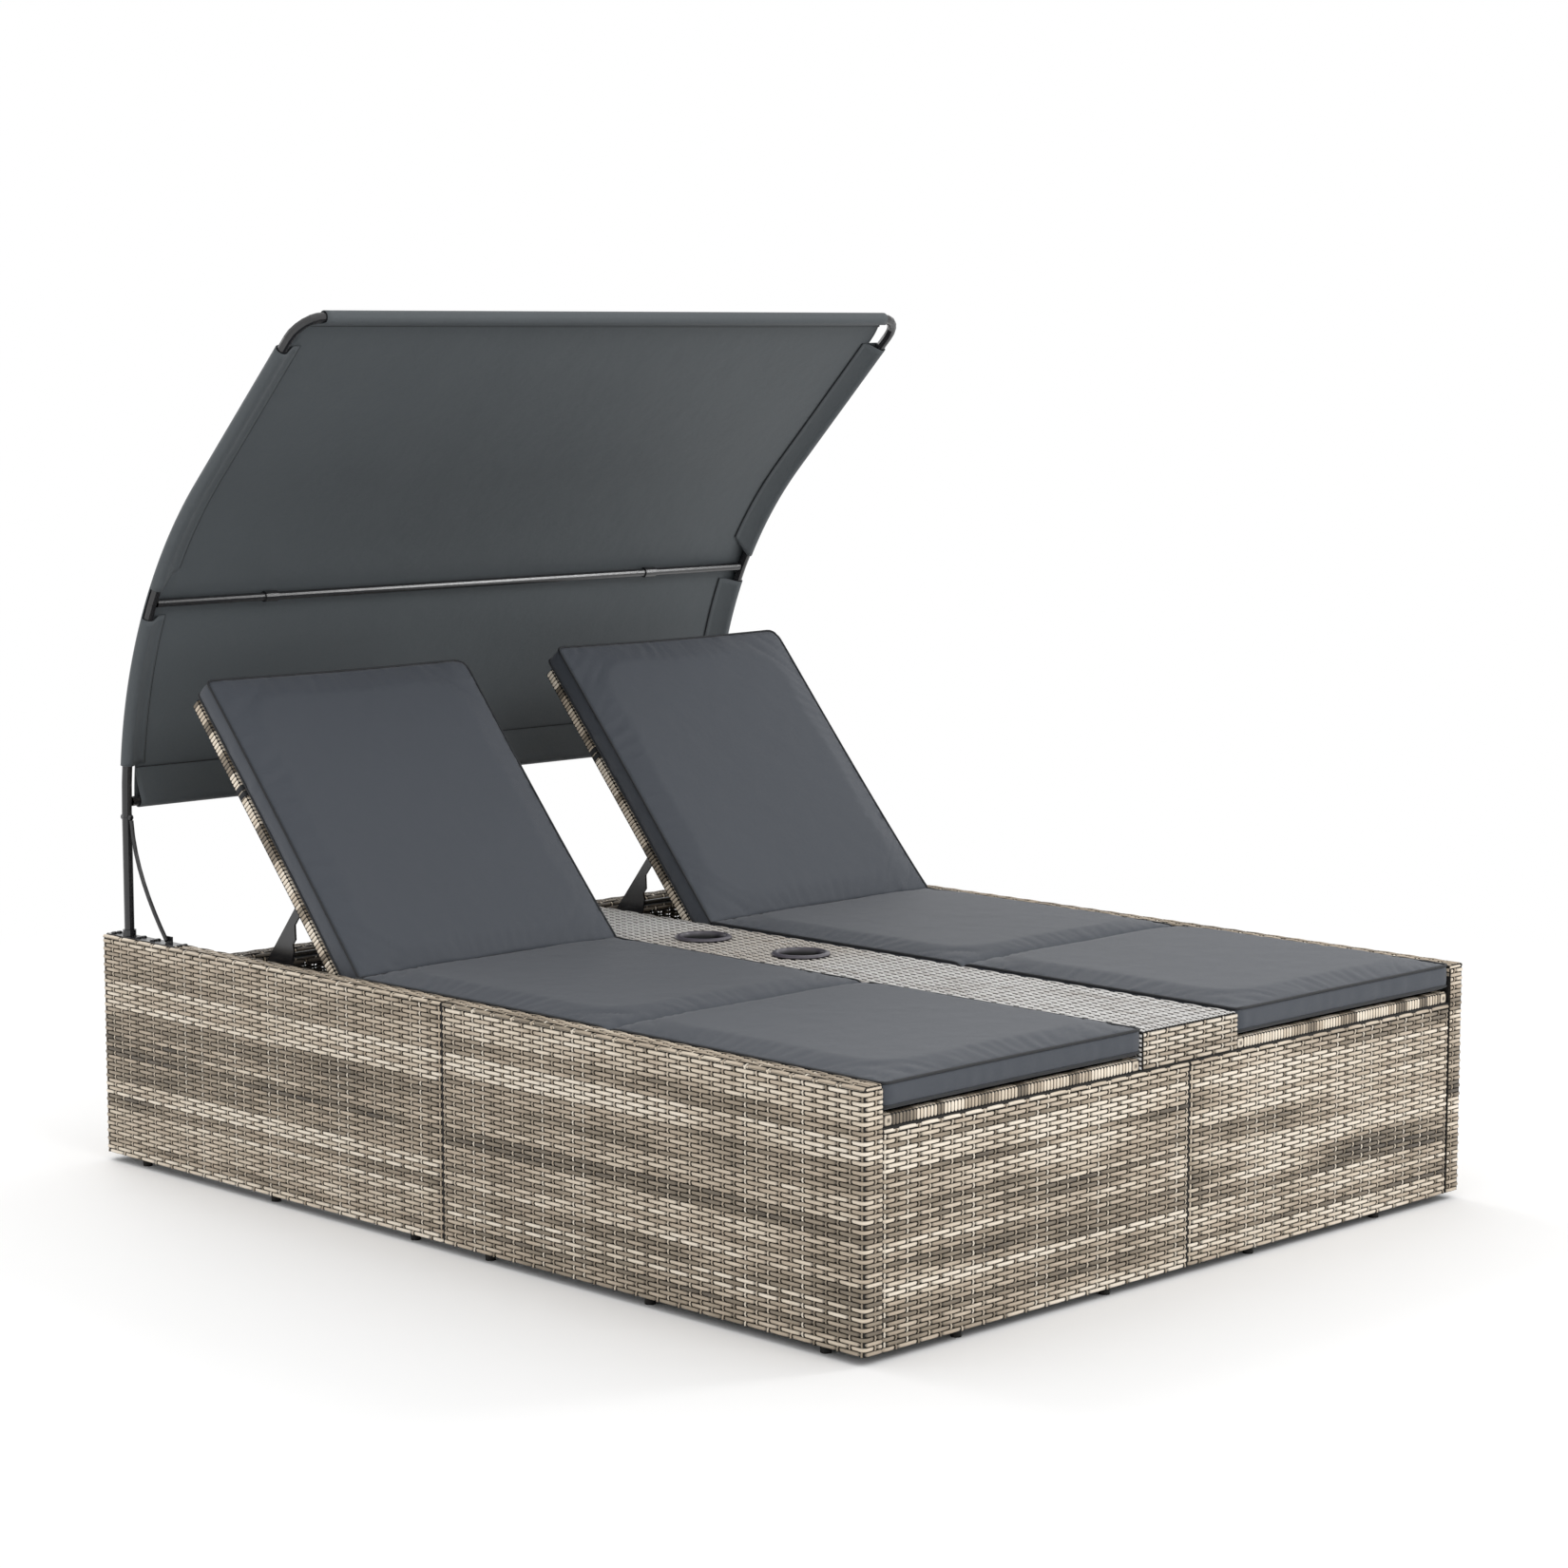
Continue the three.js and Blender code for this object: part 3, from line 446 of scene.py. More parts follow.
def strand_material():
    """Woven plastic strands, coloured strand by strand with painted shade at their edges and dips, with
    faint clouds and a fine grain.
    """
    shader = Shader("woven_strands", roughness=0.5)
    tone = shader.add("ShaderNodeAttribute", attribute_name="strand_colour").outputs["Color"]
    darker = shader.add("ShaderNodeMix", data_type="RGBA", blend_type="MULTIPLY")
    darker.inputs["Factor"].default_value = 1.0
    shader.link(tone, darker.inputs["A"])
    shade = shader.mixed(shader.noise(scale=60.0), (0.80, 0.79, 0.78, 1.0), WHITE)
    shader.link(shade, darker.inputs["B"])
    shader.colour(darker.outputs["Result"])
    shader.roughness(shader.ranged(shader.noise(scale=180.0), low=0.42, high=0.6))
    shader.bump(shader.noise(scale=900.0, detail=2.0), distance=0.0004, strength=0.25)
    return shader.material


def fabric_material(name, colour, weave_scale, sheen):
    """Dense woven cloth: a fine crosswise thread relief with faint heathering."""
    shader = Shader(name, roughness=0.62, Sheen_Weight=sheen, Sheen_Roughness=0.5, Specular_IOR_Level=0.4)
    heather = shader.tinted(shader.noise(scale=260.0, detail=4.0), colour, darker=0.93, lighter=1.06)
    cloud = shader.ranged(shader.noise(scale=3.2, detail=4.0), low=0.0, high=0.5)
    shader.colour(shader.mixed(cloud, heather, shaded(colour, 1.1)))
    height = shader.add("ShaderNodeMath", operation="ADD")
    for socket, direction in zip(height.inputs, "XY"):
        shader.link(shader.waves(weave_scale, direction), socket)
    folds = shader.noise(scale=WRINKLE_SCALE, detail=5.0)
    shader.bump(height.outputs[0], distance=0.0003, strength=0.2, folds=folds)
    return shader.material


def powder_coat_material():
    """Satin powder coat with its fine orange-peel texture."""
    shader = Shader("powder_coat", roughness=0.22, Specular_IOR_Level=0.75)
    shader.colour(shader.tinted(shader.noise(scale=40.0), STEEL_COLOUR, darker=0.85, lighter=1.12))
    shader.roughness(shader.ranged(shader.noise(scale=120.0), low=0.18, high=0.27))
    shader.bump(shader.noise(scale=1400.0, detail=2.0), distance=0.0002, strength=0.3)
    return shader.material


def gloss_material():
    """Moulded glossy plastic, with painted shade darkening the inside of the wells, and faint handling
    marks.
    """
    shader = Shader("gloss_plastic", roughness=0.3)
    lip = shader.tinted(shader.noise(scale=25.0), PLASTIC_COLOUR, darker=0.85, lighter=1.15)
    place = shader.add("ShaderNodeSeparateXYZ")
    shader.link(shader.place(), place.inputs["Vector"])
    flange_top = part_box("cup_holder_foot")[1][2]
    rising = shader.add("ShaderNodeMapRange")
    rising.inputs["From Min"].default_value = flange_top - LIP_DEPTH
    rising.inputs["From Max"].default_value = flange_top + LIP_DEPTH
    shader.link(place.outputs["Z"], rising.inputs["Value"])
    # Below the lip the colour turns near-black: painted shade inside the well
    shader.colour(shader.mixed(rising.outputs["Result"], linear(PAINTED_WELL_SHADE), lip))
    shader.roughness(shader.ranged(shader.noise(scale=70.0, detail=5.0), low=0.24, high=0.38))
    return shader.material


def painted_shade_underlay_material():
    """Painted shade: the dark of the panels' hollow inside, seen through the weave's gaps, with the
    strands' rows just showing.
    """
    shader = Shader("weave_painted_shade_underlay", roughness=0.8)
    rows = shader.waves(scale=20.4, direction="Z")
    shader.colour(shader.tinted(rows, PAINTED_SHADE_UNDERLAY_COLOUR, darker=0.7, lighter=1.25))
    shader.bump(rows, distance=0.001, strength=0.5)
    return shader.material


def webbing_material():
    """Coarse dark webbing."""
    shader = Shader("webbing", roughness=0.8)
    shader.colour(shader.tinted(shader.noise(scale=300.0), WEBBING_COLOUR, darker=0.85, lighter=1.15))
    shader.bump(shader.noise(scale=700.0, detail=2.0), distance=0.0004, strength=0.4)
    return shader.material


STRANDS = strand_material()
CUSHION_CLOTH = fabric_material("cushion_cloth", CUSHION_COLOUR, weave_scale=900.0, sheen=0.14)
CANOPY_CLOTH = fabric_material("canopy_cloth", CANOPY_COLOUR, weave_scale=900.0, sheen=0.05)
PAINTED_SEAM_SHADE_CLOTH = fabric_material("painted_seam_shade_cloth", PAINTED_SEAM_SHADE_COLOUR, weave_scale=1200.0, sheen=0.04)
COAT = powder_coat_material()
GLOSS = gloss_material()
PAINTED_SHADE_UNDERLAY = painted_shade_underlay_material()
WEBBING = webbing_material()


# Meshes


def new_mesh(name, verts, quads, ends=()):
    """A smooth mesh of quads and the ngons that close their ends."""
    mesh = bpy.data.meshes.new(name)
    quads = quads.reshape(-1, 4)
    corners = np.concatenate([quads.ravel(), *ends])
    sizes = np.concatenate((np.full(len(quads), 4), [len(end) for end in ends])).astype(np.int32)
    starts = np.concatenate(([0], np.cumsum(sizes)[:-1]))
    mesh.vertices.add(len(verts))
    mesh.vertices.foreach_set("co", verts.astype(np.float32).ravel())
    mesh.loops.add(len(corners))
    mesh.loops.foreach_set("vertex_index", corners.astype(np.int32))
    mesh.polygons.add(len(sizes))
    mesh.polygons.foreach_set("loop_start", starts.astype(np.int32))
    mesh.update(calc_edges=True)
    mesh.validate()
    mesh.polygons.foreach_set("use_smooth", np.ones(len(mesh.polygons), bool))
    return mesh


def new_object(mesh, material=None):
    """An object of that mesh, under the mesh's name."""
    if material:
        mesh.materials.append(material)
    item = bpy.data.objects.new(mesh.name, mesh)
    bpy.context.scene.collection.objects.link(item)
    return item


def grid_of(rows, columns, first=0):
    """Indexes of the corners of a grid."""
    return first + np.arange(rows * columns).reshape(rows, columns)


def grid_quads(index):
    """The quads between the corners of a grid."""
    return np.stack((index[:-1, :-1], index[:-1, 1:], index[1:, 1:], index[1:, :-1]), -1)


def unit(vectors):
    """Vectors of the same direction and length 1."""
    return vectors / np.linalg.norm(vectors, axis=-1, keepdims=True)


def circle_round(axis, side, sides):
    """Unit circles of that many corners, square to each axis and starting at its side."""
    angles = (np.arange(sides) * 2 * math.pi / sides)[:, None]
    other = np.cross(axis, side)
    return np.cos(angles) * side[..., None, :] + np.sin(angles) * other[..., None, :]


class Route:
    """A path in a plane through square corners that are rounded to a radius."""

    def __init__(self, corners, radius=CORNER_RADIUS):
        points = [np.array(corner, float) for corner in corners]
        places = [points[0]]
        directions = [unit(points[1] - points[0])]
        bends = []
        for before, corner, after in zip(points, points[1:], points[2:]):
            arrive = unit(corner - before)
            leave = unit(after - corner)
            for step in range(CORNER_STEPS + 1):
                turn = math.pi / 2 * step / CORNER_STEPS
                place = corner + radius * (leave - arrive)
                place = place + radius * (arrive * math.sin(turn) - leave * math.cos(turn))
                if np.linalg.norm(place - places[-1]) > TINY / 10:
                    places.append(place)
                    directions.append(arrive * math.cos(turn) + leave * math.sin(turn))
                bends.append(len(places) - 1)
        places.append(points[-1])
        directions.append(unit(points[-1] - points[-2]))
        self.places = np.array(places)
        self.directions = np.array(directions)
        gaps = np.linalg.norm(np.diff(self.places, axis=0), axis=1)
        self.distances = np.concatenate(([0.0], np.cumsum(gaps)))
        self.length = self.distances[-1]
        self.bends = self.distances[bends]

    def at(self, distance):
        """Places and directions at distances along the path."""
        place = [np.interp(distance, self.distances, self.places[:, axis]) for axis in (0, 1)]
        direction = [np.interp(distance, self.distances, self.directions[:, axis]) for axis in (0, 1)]
        return np.stack(place, -1), unit(np.stack(direction, -1))


class Weave:
    """Strands collected into one mesh, each a closed ribbon with its own colour."""

    def __init__(self, painted_edge_shades=PAINTED_EDGE_SHADES):
        self.painted_edge_shades = np.array(painted_edge_shades)[None, :, None]
        self.verts = []
        self.quads = []
        self.ends = []
        self.colours = []
        self.count = 0

    def strand(self, centre, out, along, width, thickness, colour):
        """A ribbon through the centres, its face turned outwards, with painted shade that darkens its
        edges.
        """
        sideways = unit(np.cross(out, along))
        section = np.array(STRAND_SECTION)
        ring = (
            centre[:, None, :]
            + sideways[:, None, :] * (section[None, :, 0:1] * width[:, None, None])
            + out[:, None, :] * (section[None, :, 1:2] * thickness)
        )
        index = grid_of(len(centre), len(section), self.count)
        across = np.roll(index, -1, 1)
        walls = np.stack((index[:-1], index[1:], across[1:], across[:-1]), -1)
        # Painted shade: the strand's colour is darkened towards its edges
        colours = np.broadcast_to(colour, (len(centre), 4))[:, None, :] * self.painted_edge_shades
        self.add(ring, walls, (index[0], index[-1, ::-1]), colours)

    def rings(self, rings, colours):
        """A closed tube through rings of corners, one colour per ring."""
        stations, sides, _ = rings.shape
        index = grid_of(stations, sides, self.count)
        across = np.roll(index, -1, 1)
        walls = np.stack((index[:-1], across[:-1], across[1:], index[1:]), -1)
        self.add(rings, walls, (index[0, ::-1], index[-1]), np.repeat(colours, sides, axis=0))

    def add(self, rings, walls, ends, colours):
        """Rings of corners with the walls between them and the ngons that close them."""
        self.verts.append(rings.reshape(-1, 3))
        self.quads.append(walls.reshape(-1, 4))
        self.ends += ends
        self.colours.append(colours.reshape(-1, 4))
        self.count += rings.shape[0] * rings.shape[1]

    def tube(self, start, end, outline):
        """A straight bar with an outline for its section."""
        start, end = np.array(start, float), np.array(end, float)
        along = unit(end - start)
        up = UP if abs(along[2]) < NEARLY_UPRIGHT else np.array((0.0, 1.0, 0.0))
        sideways = unit(np.cross(along, up))
        up = np.cross(sideways, along)
        section = sideways * outline[:, :1] + up * outline[:, 1:]
        self.rings(np.stack((start + section, end + section)), np.ones((2, 4)))

    def piece(self, name, body, material=None, slot="wicker"):
        """The collected strands as an object."""
        mesh = new_mesh(name, np.concatenate(self.verts), np.concatenate(self.quads), self.ends)
        colours = mesh.attributes.new("strand_colour", "FLOAT_COLOR", "POINT")
        colours.data.foreach_set("color", np.concatenate(self.colours).astype(np.float32).ravel())
        piece = new_object(mesh, material or STRANDS)
        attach(piece, body)
        return piece


def tone_colours(tones, palette=TONES):
    """Strand colours for tones from 0, dark, to 1, light."""
    palette = np.array([linear(colour) for colour in palette])
    tones = np.clip(tones, 0.0, 1.0)
    return np.stack([np.interp(tones, TONE_STEPS, palette[:, channel]) for channel in range(4)], -1)


def row_tones(bands, rows, patchiness=PATCHINESS, spread=ROW_NOISE):
    """A tone field for rows counted from the bottom, whose bands start at shares from the top down."""
    shares = 1 - (np.arange(rows) + 0.5) / rows
    starts = np.array([start for start, _ in bands])
    levels = np.array([level for _, level in bands])
    found = levels[np.searchsorted(starts, np.clip(shares, 0, 0.999), side="right") - 1]
    return ToneField(found + rng.normal(0.0, spread, rows), patchiness)


class ToneField:
    """Row tones that drift along each strand and share patches with the rows beside them."""

    def __init__(self, levels, patchiness, palette=TONES):
        self.palette = palette
        self.levels = np.asarray(levels)
        rows = len(self.levels)
        self.own = rng.normal(0.0, STREAK_NOISE, (rows, PATCH_COUNT * STREAKS_PER_PATCH))
        bands = rng.normal(0.0, patchiness, (rows // ROWS_PER_PATCH + 2, PATCH_COUNT))
        place = np.arange(rows) / ROWS_PER_PATCH
        lower = place.astype(int)
        share = (place - lower)[:, None]
        self.shared = bands[lower] * (1 - share) + bands[lower + 1] * share

    def along(self, row, distance):
        """A row's colours at distances along it."""
        own_at = np.arange(self.own.shape[1]) * PATCH_LENGTH / STREAKS_PER_PATCH
        shared_at = np.arange(PATCH_COUNT) * PATCH_LENGTH
        tone = self.levels[row] + np.interp(distance, own_at, self.own[row])
        return tone_colours(tone + np.interp(distance, shared_at, self.shared[row]), self.palette)


class ConsoleTones(ToneField):
    """The console's tones: light and greyer than the panels, but browner round the cup holders."""

    def __init__(self, levels, cups_at):
        super().__init__(levels, CONSOLE_PATCHINESS, GREYER_TONES)
        self.cups_at = cups_at

    def along(self, row, distance):
        grey = super().along(row, distance)
        from_cups = (distance - self.cups_at) / CUP_TONE_REACH
        nearness = CUP_TONE_SHARE * np.exp(-from_cups ** CUP_TONE_POWER)[:, None]
        return grey * (1 - nearness) + tone_colours(np.full(len(distance), CUP_TONE)) * nearness


def rib_tones(count):
    """Tones of ribs: most are light, some are tan or grey-brown."""
    return rng.choice(RIB_TONES, count, p=RIB_SHARES)


def row_stations(rib_places, parity, length):
    """Distances, heights, widths and painted shades of a row that dips under every second rib: its colour
    is darkened where it dips.
    """
    stations = [(0.0, ROW_HIGH, 1.0, 1.0)]
    for index, place in enumerate(rib_places):
        if (index + parity) % 2:
            stations += [
                (place - DIP_HALF, ROW_HIGH, 1.0, 1.0),
                (place - DIP_SLOPE, ROW_MIDDLE, SLOPE_WIDTH_SHARE, SLOPE_PAINTED_SHADE),
                (place, ROW_LOW, DIP_WIDTH_SHARE, DIP_PAINTED_SHADE),
                (place + DIP_SLOPE, ROW_MIDDLE, SLOPE_WIDTH_SHARE, SLOPE_PAINTED_SHADE),
                (place + DIP_HALF, ROW_HIGH, 1.0, 1.0),
            ]
        else:
            stations.append((place, ROW_CROWN, 1.0, 1.0))
    stations.append((length, ROW_HIGH, 1.0, 1.0))
    kept = np.array([s for s in stations if 0.0 <= s[0] <= length])
    return kept[np.argsort(kept[:, 0], kind="stable")]


def runs(keep):
    """The (start, end) index pairs of the stretches that are kept."""
    edges = np.flatnonzero(np.diff(np.concatenate(([0], keep.astype(int), [0]))))
    return [(a, b) for a, b in zip(edges[::2], edges[1::2]) if b - a > 1]


def with_cut_edges(distance, length, place_at, keep):
    """Distances, and more of them where what is kept of a strand begins or ends."""
    if not keep:
        return distance
    fine = np.arange(0.0, length, CUT_STEP)
    changes = np.flatnonzero(np.diff(keep(place_at(fine)[0]).astype(int)))
    return np.union1d(distance, np.concatenate((fine[changes], fine[changes + 1])))


def kept_strand(weave, keep, centre, out, along, width, thickness, colours):
    """A strand, or those stretches of it that are kept."""
    wanted = keep(centre) if keep else np.ones(len(centre), bool)
    for a, b in runs(wanted):
        weave.strand(centre[a:b], out[a:b], along[a:b], width[a:b], thickness, colours[a:b])


def between(values, length):
    """The values that lie inside a length."""
    return [value for value in values if 0 < value < length]


def weave_patch(weave, place, length, height, rib_places, row_colours, rib_colours, row_bends=(),
                rib_bends=(), parity=0, keep=None, lift=WEAVE_LIFT, strand_width=STRAND_WIDTH):
    """Rows and ribs over a surface, whose place(u, v) gives places, outward directions and both travels."""
    rows = len(row_colours.levels)
    middles = (np.arange(rows) + 0.5) * (height / rows)
    for row, middle in enumerate(middles):

        def on_row(u, middle=middle):
            return place(u, np.full(len(u), middle))

        stations, heights, widths, shades = row_stations(rib_places, parity + row, length).T
        distance = np.union1d(stations, between(row_bends, length))
        distance = with_cut_edges(distance, length, on_row, keep)
        centre, out, along, _ = on_row(distance)
        centre = centre + out * (np.interp(distance, stations, heights) + lift)[:, None]
        width = np.interp(distance, stations, widths) * strand_width
        # The row's colours carry painted shade in its dips
        colours = row_colours.along(row, distance) * np.interp(distance, stations, shades)[:, None]
        kept_strand(weave, keep, centre, out, along, width, STRAND_THICKNESS, colours)
    for index, rib in enumerate(rib_places):

        def on_rib(v, rib=rib):
            return place(np.full(len(v), rib), v)

        over = (np.arange(rows) + parity + index) % 2 == 1
        distance = np.unique(np.concatenate(([0.0], middles, between(rib_bends, height), [height])))
        distance = with_cut_edges(distance, height, on_rib, keep)
        rise = np.interp(distance, middles, np.where(over, RIB_HIGH, RIB_LOW)) + lift
        centre, out, _, along = on_rib(distance)
        colours = np.tile(rib_colours[index], (len(distance), 1))
        kept_strand(weave, keep, centre + out * rise[:, None], out, along,
                    np.full(len(distance), RIB_WIDTH), RIB_THICKNESS, colours)


def even_places(length, pitch):
    """Places at nearly that pitch that share a length evenly."""
    count = max(1, round(length / pitch))
    return (np.arange(count) + 0.5) * length / count


# Woven panels


def upright_place(route, base_z):
    """A wall that stands on a route in plan, with its outside on the route's right hand."""

    def place(u, v):
        where, direction = route.at(u)
        centre = np.column_stack((where, base_z + v))
        along = np.column_stack((direction, np.zeros(len(u))))
        out = np.column_stack((direction[:, 1], -direction[:, 0], np.zeros(len(u))))
        return centre, out, along, np.tile(UP, (len(u), 1))

    return place


def edge_place(start, along, outward, profile):
    """A straight edge that carries a profile of (outward, up) places."""
    start, along, outward = (np.array(v, float) for v in (start, along, outward))

    def place(u, v):
        where, direction = profile.at(v)
        centre = start + along * u[:, None] + outward * where[:, :1] + UP * where[:, 1:]
        out = outward * direction[:, 1:] - UP * direction[:, :1]
        travel = outward * direction[:, :1] + UP * direction[:, 1:]
        return centre, out, np.tile(along, (len(u), 1)), travel

    return place


def panel_weave(name, corners, base_z, top_z, bands, depth, patchiness=PATCHINESS, spread=ROW_NOISE,
                top_tone=None, top_return=TOP_RETURN, strand_width=STRAND_WIDTH, keep=None):
    """A woven panel: a wall along its corners in plan, and a top edge over the rail of its face.

    The face lies between the second corner and the third.
    """
    weave = Weave()
    route = Route(corners)
    wall = upright_place(route, base_z)
    wall_height = top_z - base_z - CORNER_RADIUS
    rows = round(wall_height / ROW_PITCH)
    colours = row_tones(bands, rows, patchiness, spread)
    ribs = even_places(route.length, RIB_PITCH)
    rib_colours = tone_colours(rib_tones(len(ribs)))
    weave_patch(weave, wall, route.length, wall_height, ribs, colours, rib_colours,
                row_bends=route.bends, strand_width=strand_width)

    rim = np.linspace(0.0, route.length, 2 * len(ribs) + len(route.bends))
    rim = np.union1d(rim, route.bends)
    centre, out, along, _ = wall(rim, np.full(len(rim), wall_height + RIM_RISE))
    weave.strand(centre - out * RIM_SINK, out, along, np.full(len(rim), STRAND_WIDTH), STRAND_THICKNESS,
                 colours.along(rows - 1, rim))

    start, end = (np.array((*corner, 0.0)) for corner in corners[1:3])
    span = np.linalg.norm(end - start)
    along = (end - start) / span
    outward = np.array((along[1], -along[0], 0.0))
    where, _ = route.at(ribs)
    reach = (where - start[:2]) @ along[:2]
    off_wall = np.abs((where - start[:2]) @ outward[:2])
    on_face = (reach > CORNER_RADIUS) & (reach < span - CORNER_RADIUS) & (off_wall < CORNER_RADIUS / 2)
    profile = Route([(0, top_z - CORNER_RADIUS - TINY), (0, top_z), (-depth, top_z),
                     (-depth, top_z - top_return)])
    level = bands[0][1] + TOP_TONE_RISE if top_tone is None else top_tone
    top_colours = ToneField(rng.normal(level, spread, round(profile.length / ROW_PITCH)), patchiness)
    weave_patch(weave, edge_place(start, along, outward, profile), span, profile.length, reach[on_face],
                top_colours, rib_colours[on_face], rib_bends=profile.bends,
                parity=rows + int(np.flatnonzero(on_face)[0]), strand_width=strand_width, keep=keep)
    return weave.piece(name, "base")


def clear_of_plates(points):
    """Where a panel's top weave is kept: all but the canopy's post plates' places."""
    kept = np.ones(len(points), bool)
    for side in SIDES.values():
        low, high = (np.array(corner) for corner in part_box(f"{side}_post_plate"))
        inside = (points > low - PLATE_CLEARANCE) & (points < high + PLATE_CLEARANCE)
        kept &= ~inside[:, :2].all(1) | (points[:, 2] < low[2] - RIM_RISE)
    return kept


def side_panel_weaves():
    """Head and foot halves of both side panels, the right ones as mirror images."""
    for end in ("head", "foot"):
        low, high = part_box(f"left_side_panel_{end}")
        outer, inner = low[0], high[0] - SEAM_GAP
        if end == "head":
            seam_y = low[1] + SEAM_INSET
            corners = [(inner, high[1]), (outer, high[1]), (outer, seam_y), (outer + SEAM_RETURN, seam_y)]
        else:
            seam_y = high[1] - SEAM_INSET
            corners = [(outer + SEAM_RETURN, seam_y), (outer, seam_y), (outer, low[1]), (inner, low[1])]
        mirrored = [(-x, y) for x, y in reversed(corners)]
        bands = HEAD_SIDE_BANDS if end == "head" else FOOT_SIDE_BANDS
        for side, plan in (("left", corners), ("right", mirrored)):
            panel_weave(f"{side}_side_weave_{end}", plan, low[2] + GLIDE_HEIGHT, high[2], bands,
                        inner - outer, top_tone=SIDE_RIM_TONE, keep=clear_of_plates)


def end_panel_weaves():
    """Foot panels over their trays, and head panels that are open weave on a tube frame."""
    for side in SIDES.values():
        low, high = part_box(f"foot_end_panel_{side}")
        y, depth = low[1], high[1] - low[1]
        first, last = low[0] + SEAM_INSET, high[0] - SEAM_INSET
        corners = [(first, y + SEAM_RETURN), (first, y), (last, y), (last, y + SEAM_RETURN)]
        base = low[2] + GLIDE_HEIGHT
        panel_weave(f"foot_end_weave_{side}", corners, base, high[2] - RAIL_SHADOW_GAP, FOOT_END_BANDS,
                    depth, END_PATCHINESS, END_ROW_NOISE)

        low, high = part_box(f"head_end_panel_{side}")
        y = high[1]
        first, last = high[0] - SEAM_INSET, low[0] + SEAM_INSET
        corners = [(first, y - SEAM_RETURN), (first, y), (last, y), (last, y - SEAM_RETURN)]
        piece = panel_weave(f"head_end_weave_{side}", corners, base, high[2] - HEAD_REST_GAP,
                            HEAD_SIDE_BANDS, depth, top_tone=HEAD_RIM_TONE, top_return=HEAD_RIM_RETURN,
                            strand_width=TIGHT_WIDTH)
        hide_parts(f"head_end_panel_{side}")
        head_panel_frame(side, low, high)


def head_panel_frame(side, low, high):
    """The tube frame and glides that an open head panel is woven on."""
    tubes = Weave()
    y = (low[1] + high[1]) / 2
    half = PANEL_TUBE / 2
    square = rail_outline(half, half / 3)
    round_outline = rail_outline(GLIDE_RADIUS, GLIDE_RADIUS)
    bottom = low[2] + GLIDE_HEIGHT + half
    top = high[2] - HEAD_REST_GAP - half - PANEL_TUBE_COVER
    left, right = low[0] + half + SEAM_GAP, high[0] - half - SEAM_GAP
    for z in (bottom, top):
        tubes.tube((left - half, y, z), (right + half, y, z), square)
    for x in (left, (left + right) / 2, right):
        tubes.tube((x, y, bottom), (x, y, top), square)
    for x in (low[0] + GLIDE_INSET, high[0] - GLIDE_INSET):
        tubes.tube((x, y, low[2]), (x, y, low[2] + GLIDE_HEIGHT), round_outline)
    tubes.piece(f"head_panel_frame_{side}", "base", COAT, "steel")


def console_weaves():
    """The console's two halves: rows along its top and sides, and a woven end face."""
    cups_y = np.mean([corner[1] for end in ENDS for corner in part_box(f"cup_holder_{end}")])
    for end in ENDS:
        weave = Weave(CONSOLE_PAINTED_EDGE_SHADES)
        console_top(weave, end, cups_y)
        console_face(weave, end)
        weave.piece(f"console_weave_{end}", "base")


def console_top(weave, end, cups_y):
    """Rows that run along the console, over its top and down both sides, with a hole for the cup."""
    low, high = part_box(f"console_{end}")
    across = Route([(-low[0], low[2]), (-low[0], high[2]), (-high[0], high[2]), (-high[0], low[2])])
    first, last = (low[1], high[1] - SEAM_GAP) if end == "foot" else (low[1] + SEAM_GAP, high[1])
    place = edge_place((0.0, first, 0.0), (0.0, 1.0, 0.0), (-1.0, 0.0, 0.0), across)
    ribs = even_places(last - first, RIB_PITCH)
    tones = rng.choice(CONSOLE_TONES, round(across.length / ROW_PITCH), p=CONSOLE_SHARES)
    cup_low, cup_high = (np.array(corner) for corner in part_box(f"cup_holder_{end}"))
    cup_centre = (cup_low[:2] + cup_high[:2]) / 2
    cup_hole = (cup_high[0] - cup_low[0]) / 2 - CUP_RIM_COVER

    def keep(points):
        return np.linalg.norm(points[:, :2] - cup_centre, axis=1) > cup_hole

    weave_patch(weave, place, last - first, across.length, ribs, ConsoleTones(tones, cups_y - first),
                tone_colours(rib_tones(len(ribs)), GREYER_TONES), rib_bends=across.bends, keep=keep,
                strand_width=CONSOLE_WIDTH)


def console_face(weave, end):
    """The upright face at the foot end or the head end of the console."""
    low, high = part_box(f"console_{end}")
    if end == "foot":
        line = [(low[0], low[1]), (high[0], low[1])]
    else:
        line = [(high[0], high[1]), (low[0], high[1])]
    span = high[0] - low[0]
    height = high[2] - low[2] - SEAM_GAP
    tones = row_tones(CONSOLE_BANDS, round(height / ROW_PITCH))
    ribs = even_places(span, RIB_PITCH)
    weave_patch(weave, upright_place(Route(line), low[2] + SEAM_GAP), span, height, ribs, tones,
                tone_colours(rib_tones(len(ribs))))


# Wrapped rails of the loungers


def rail_outline(half, corner):
    """Corners of a rounded square about the origin."""
    outline = []
    for turn in range(4):
        middle = math.pi / 4 + turn * math.pi / 2
        for step in (-1, 0, 1):
            angle = middle + step * math.pi / 6
            centre = (half - corner) * np.sign((math.cos(middle), math.sin(middle)))
            outline.append(centre + corner * np.array((math.cos(angle), math.sin(angle))))
    return np.array(outline)


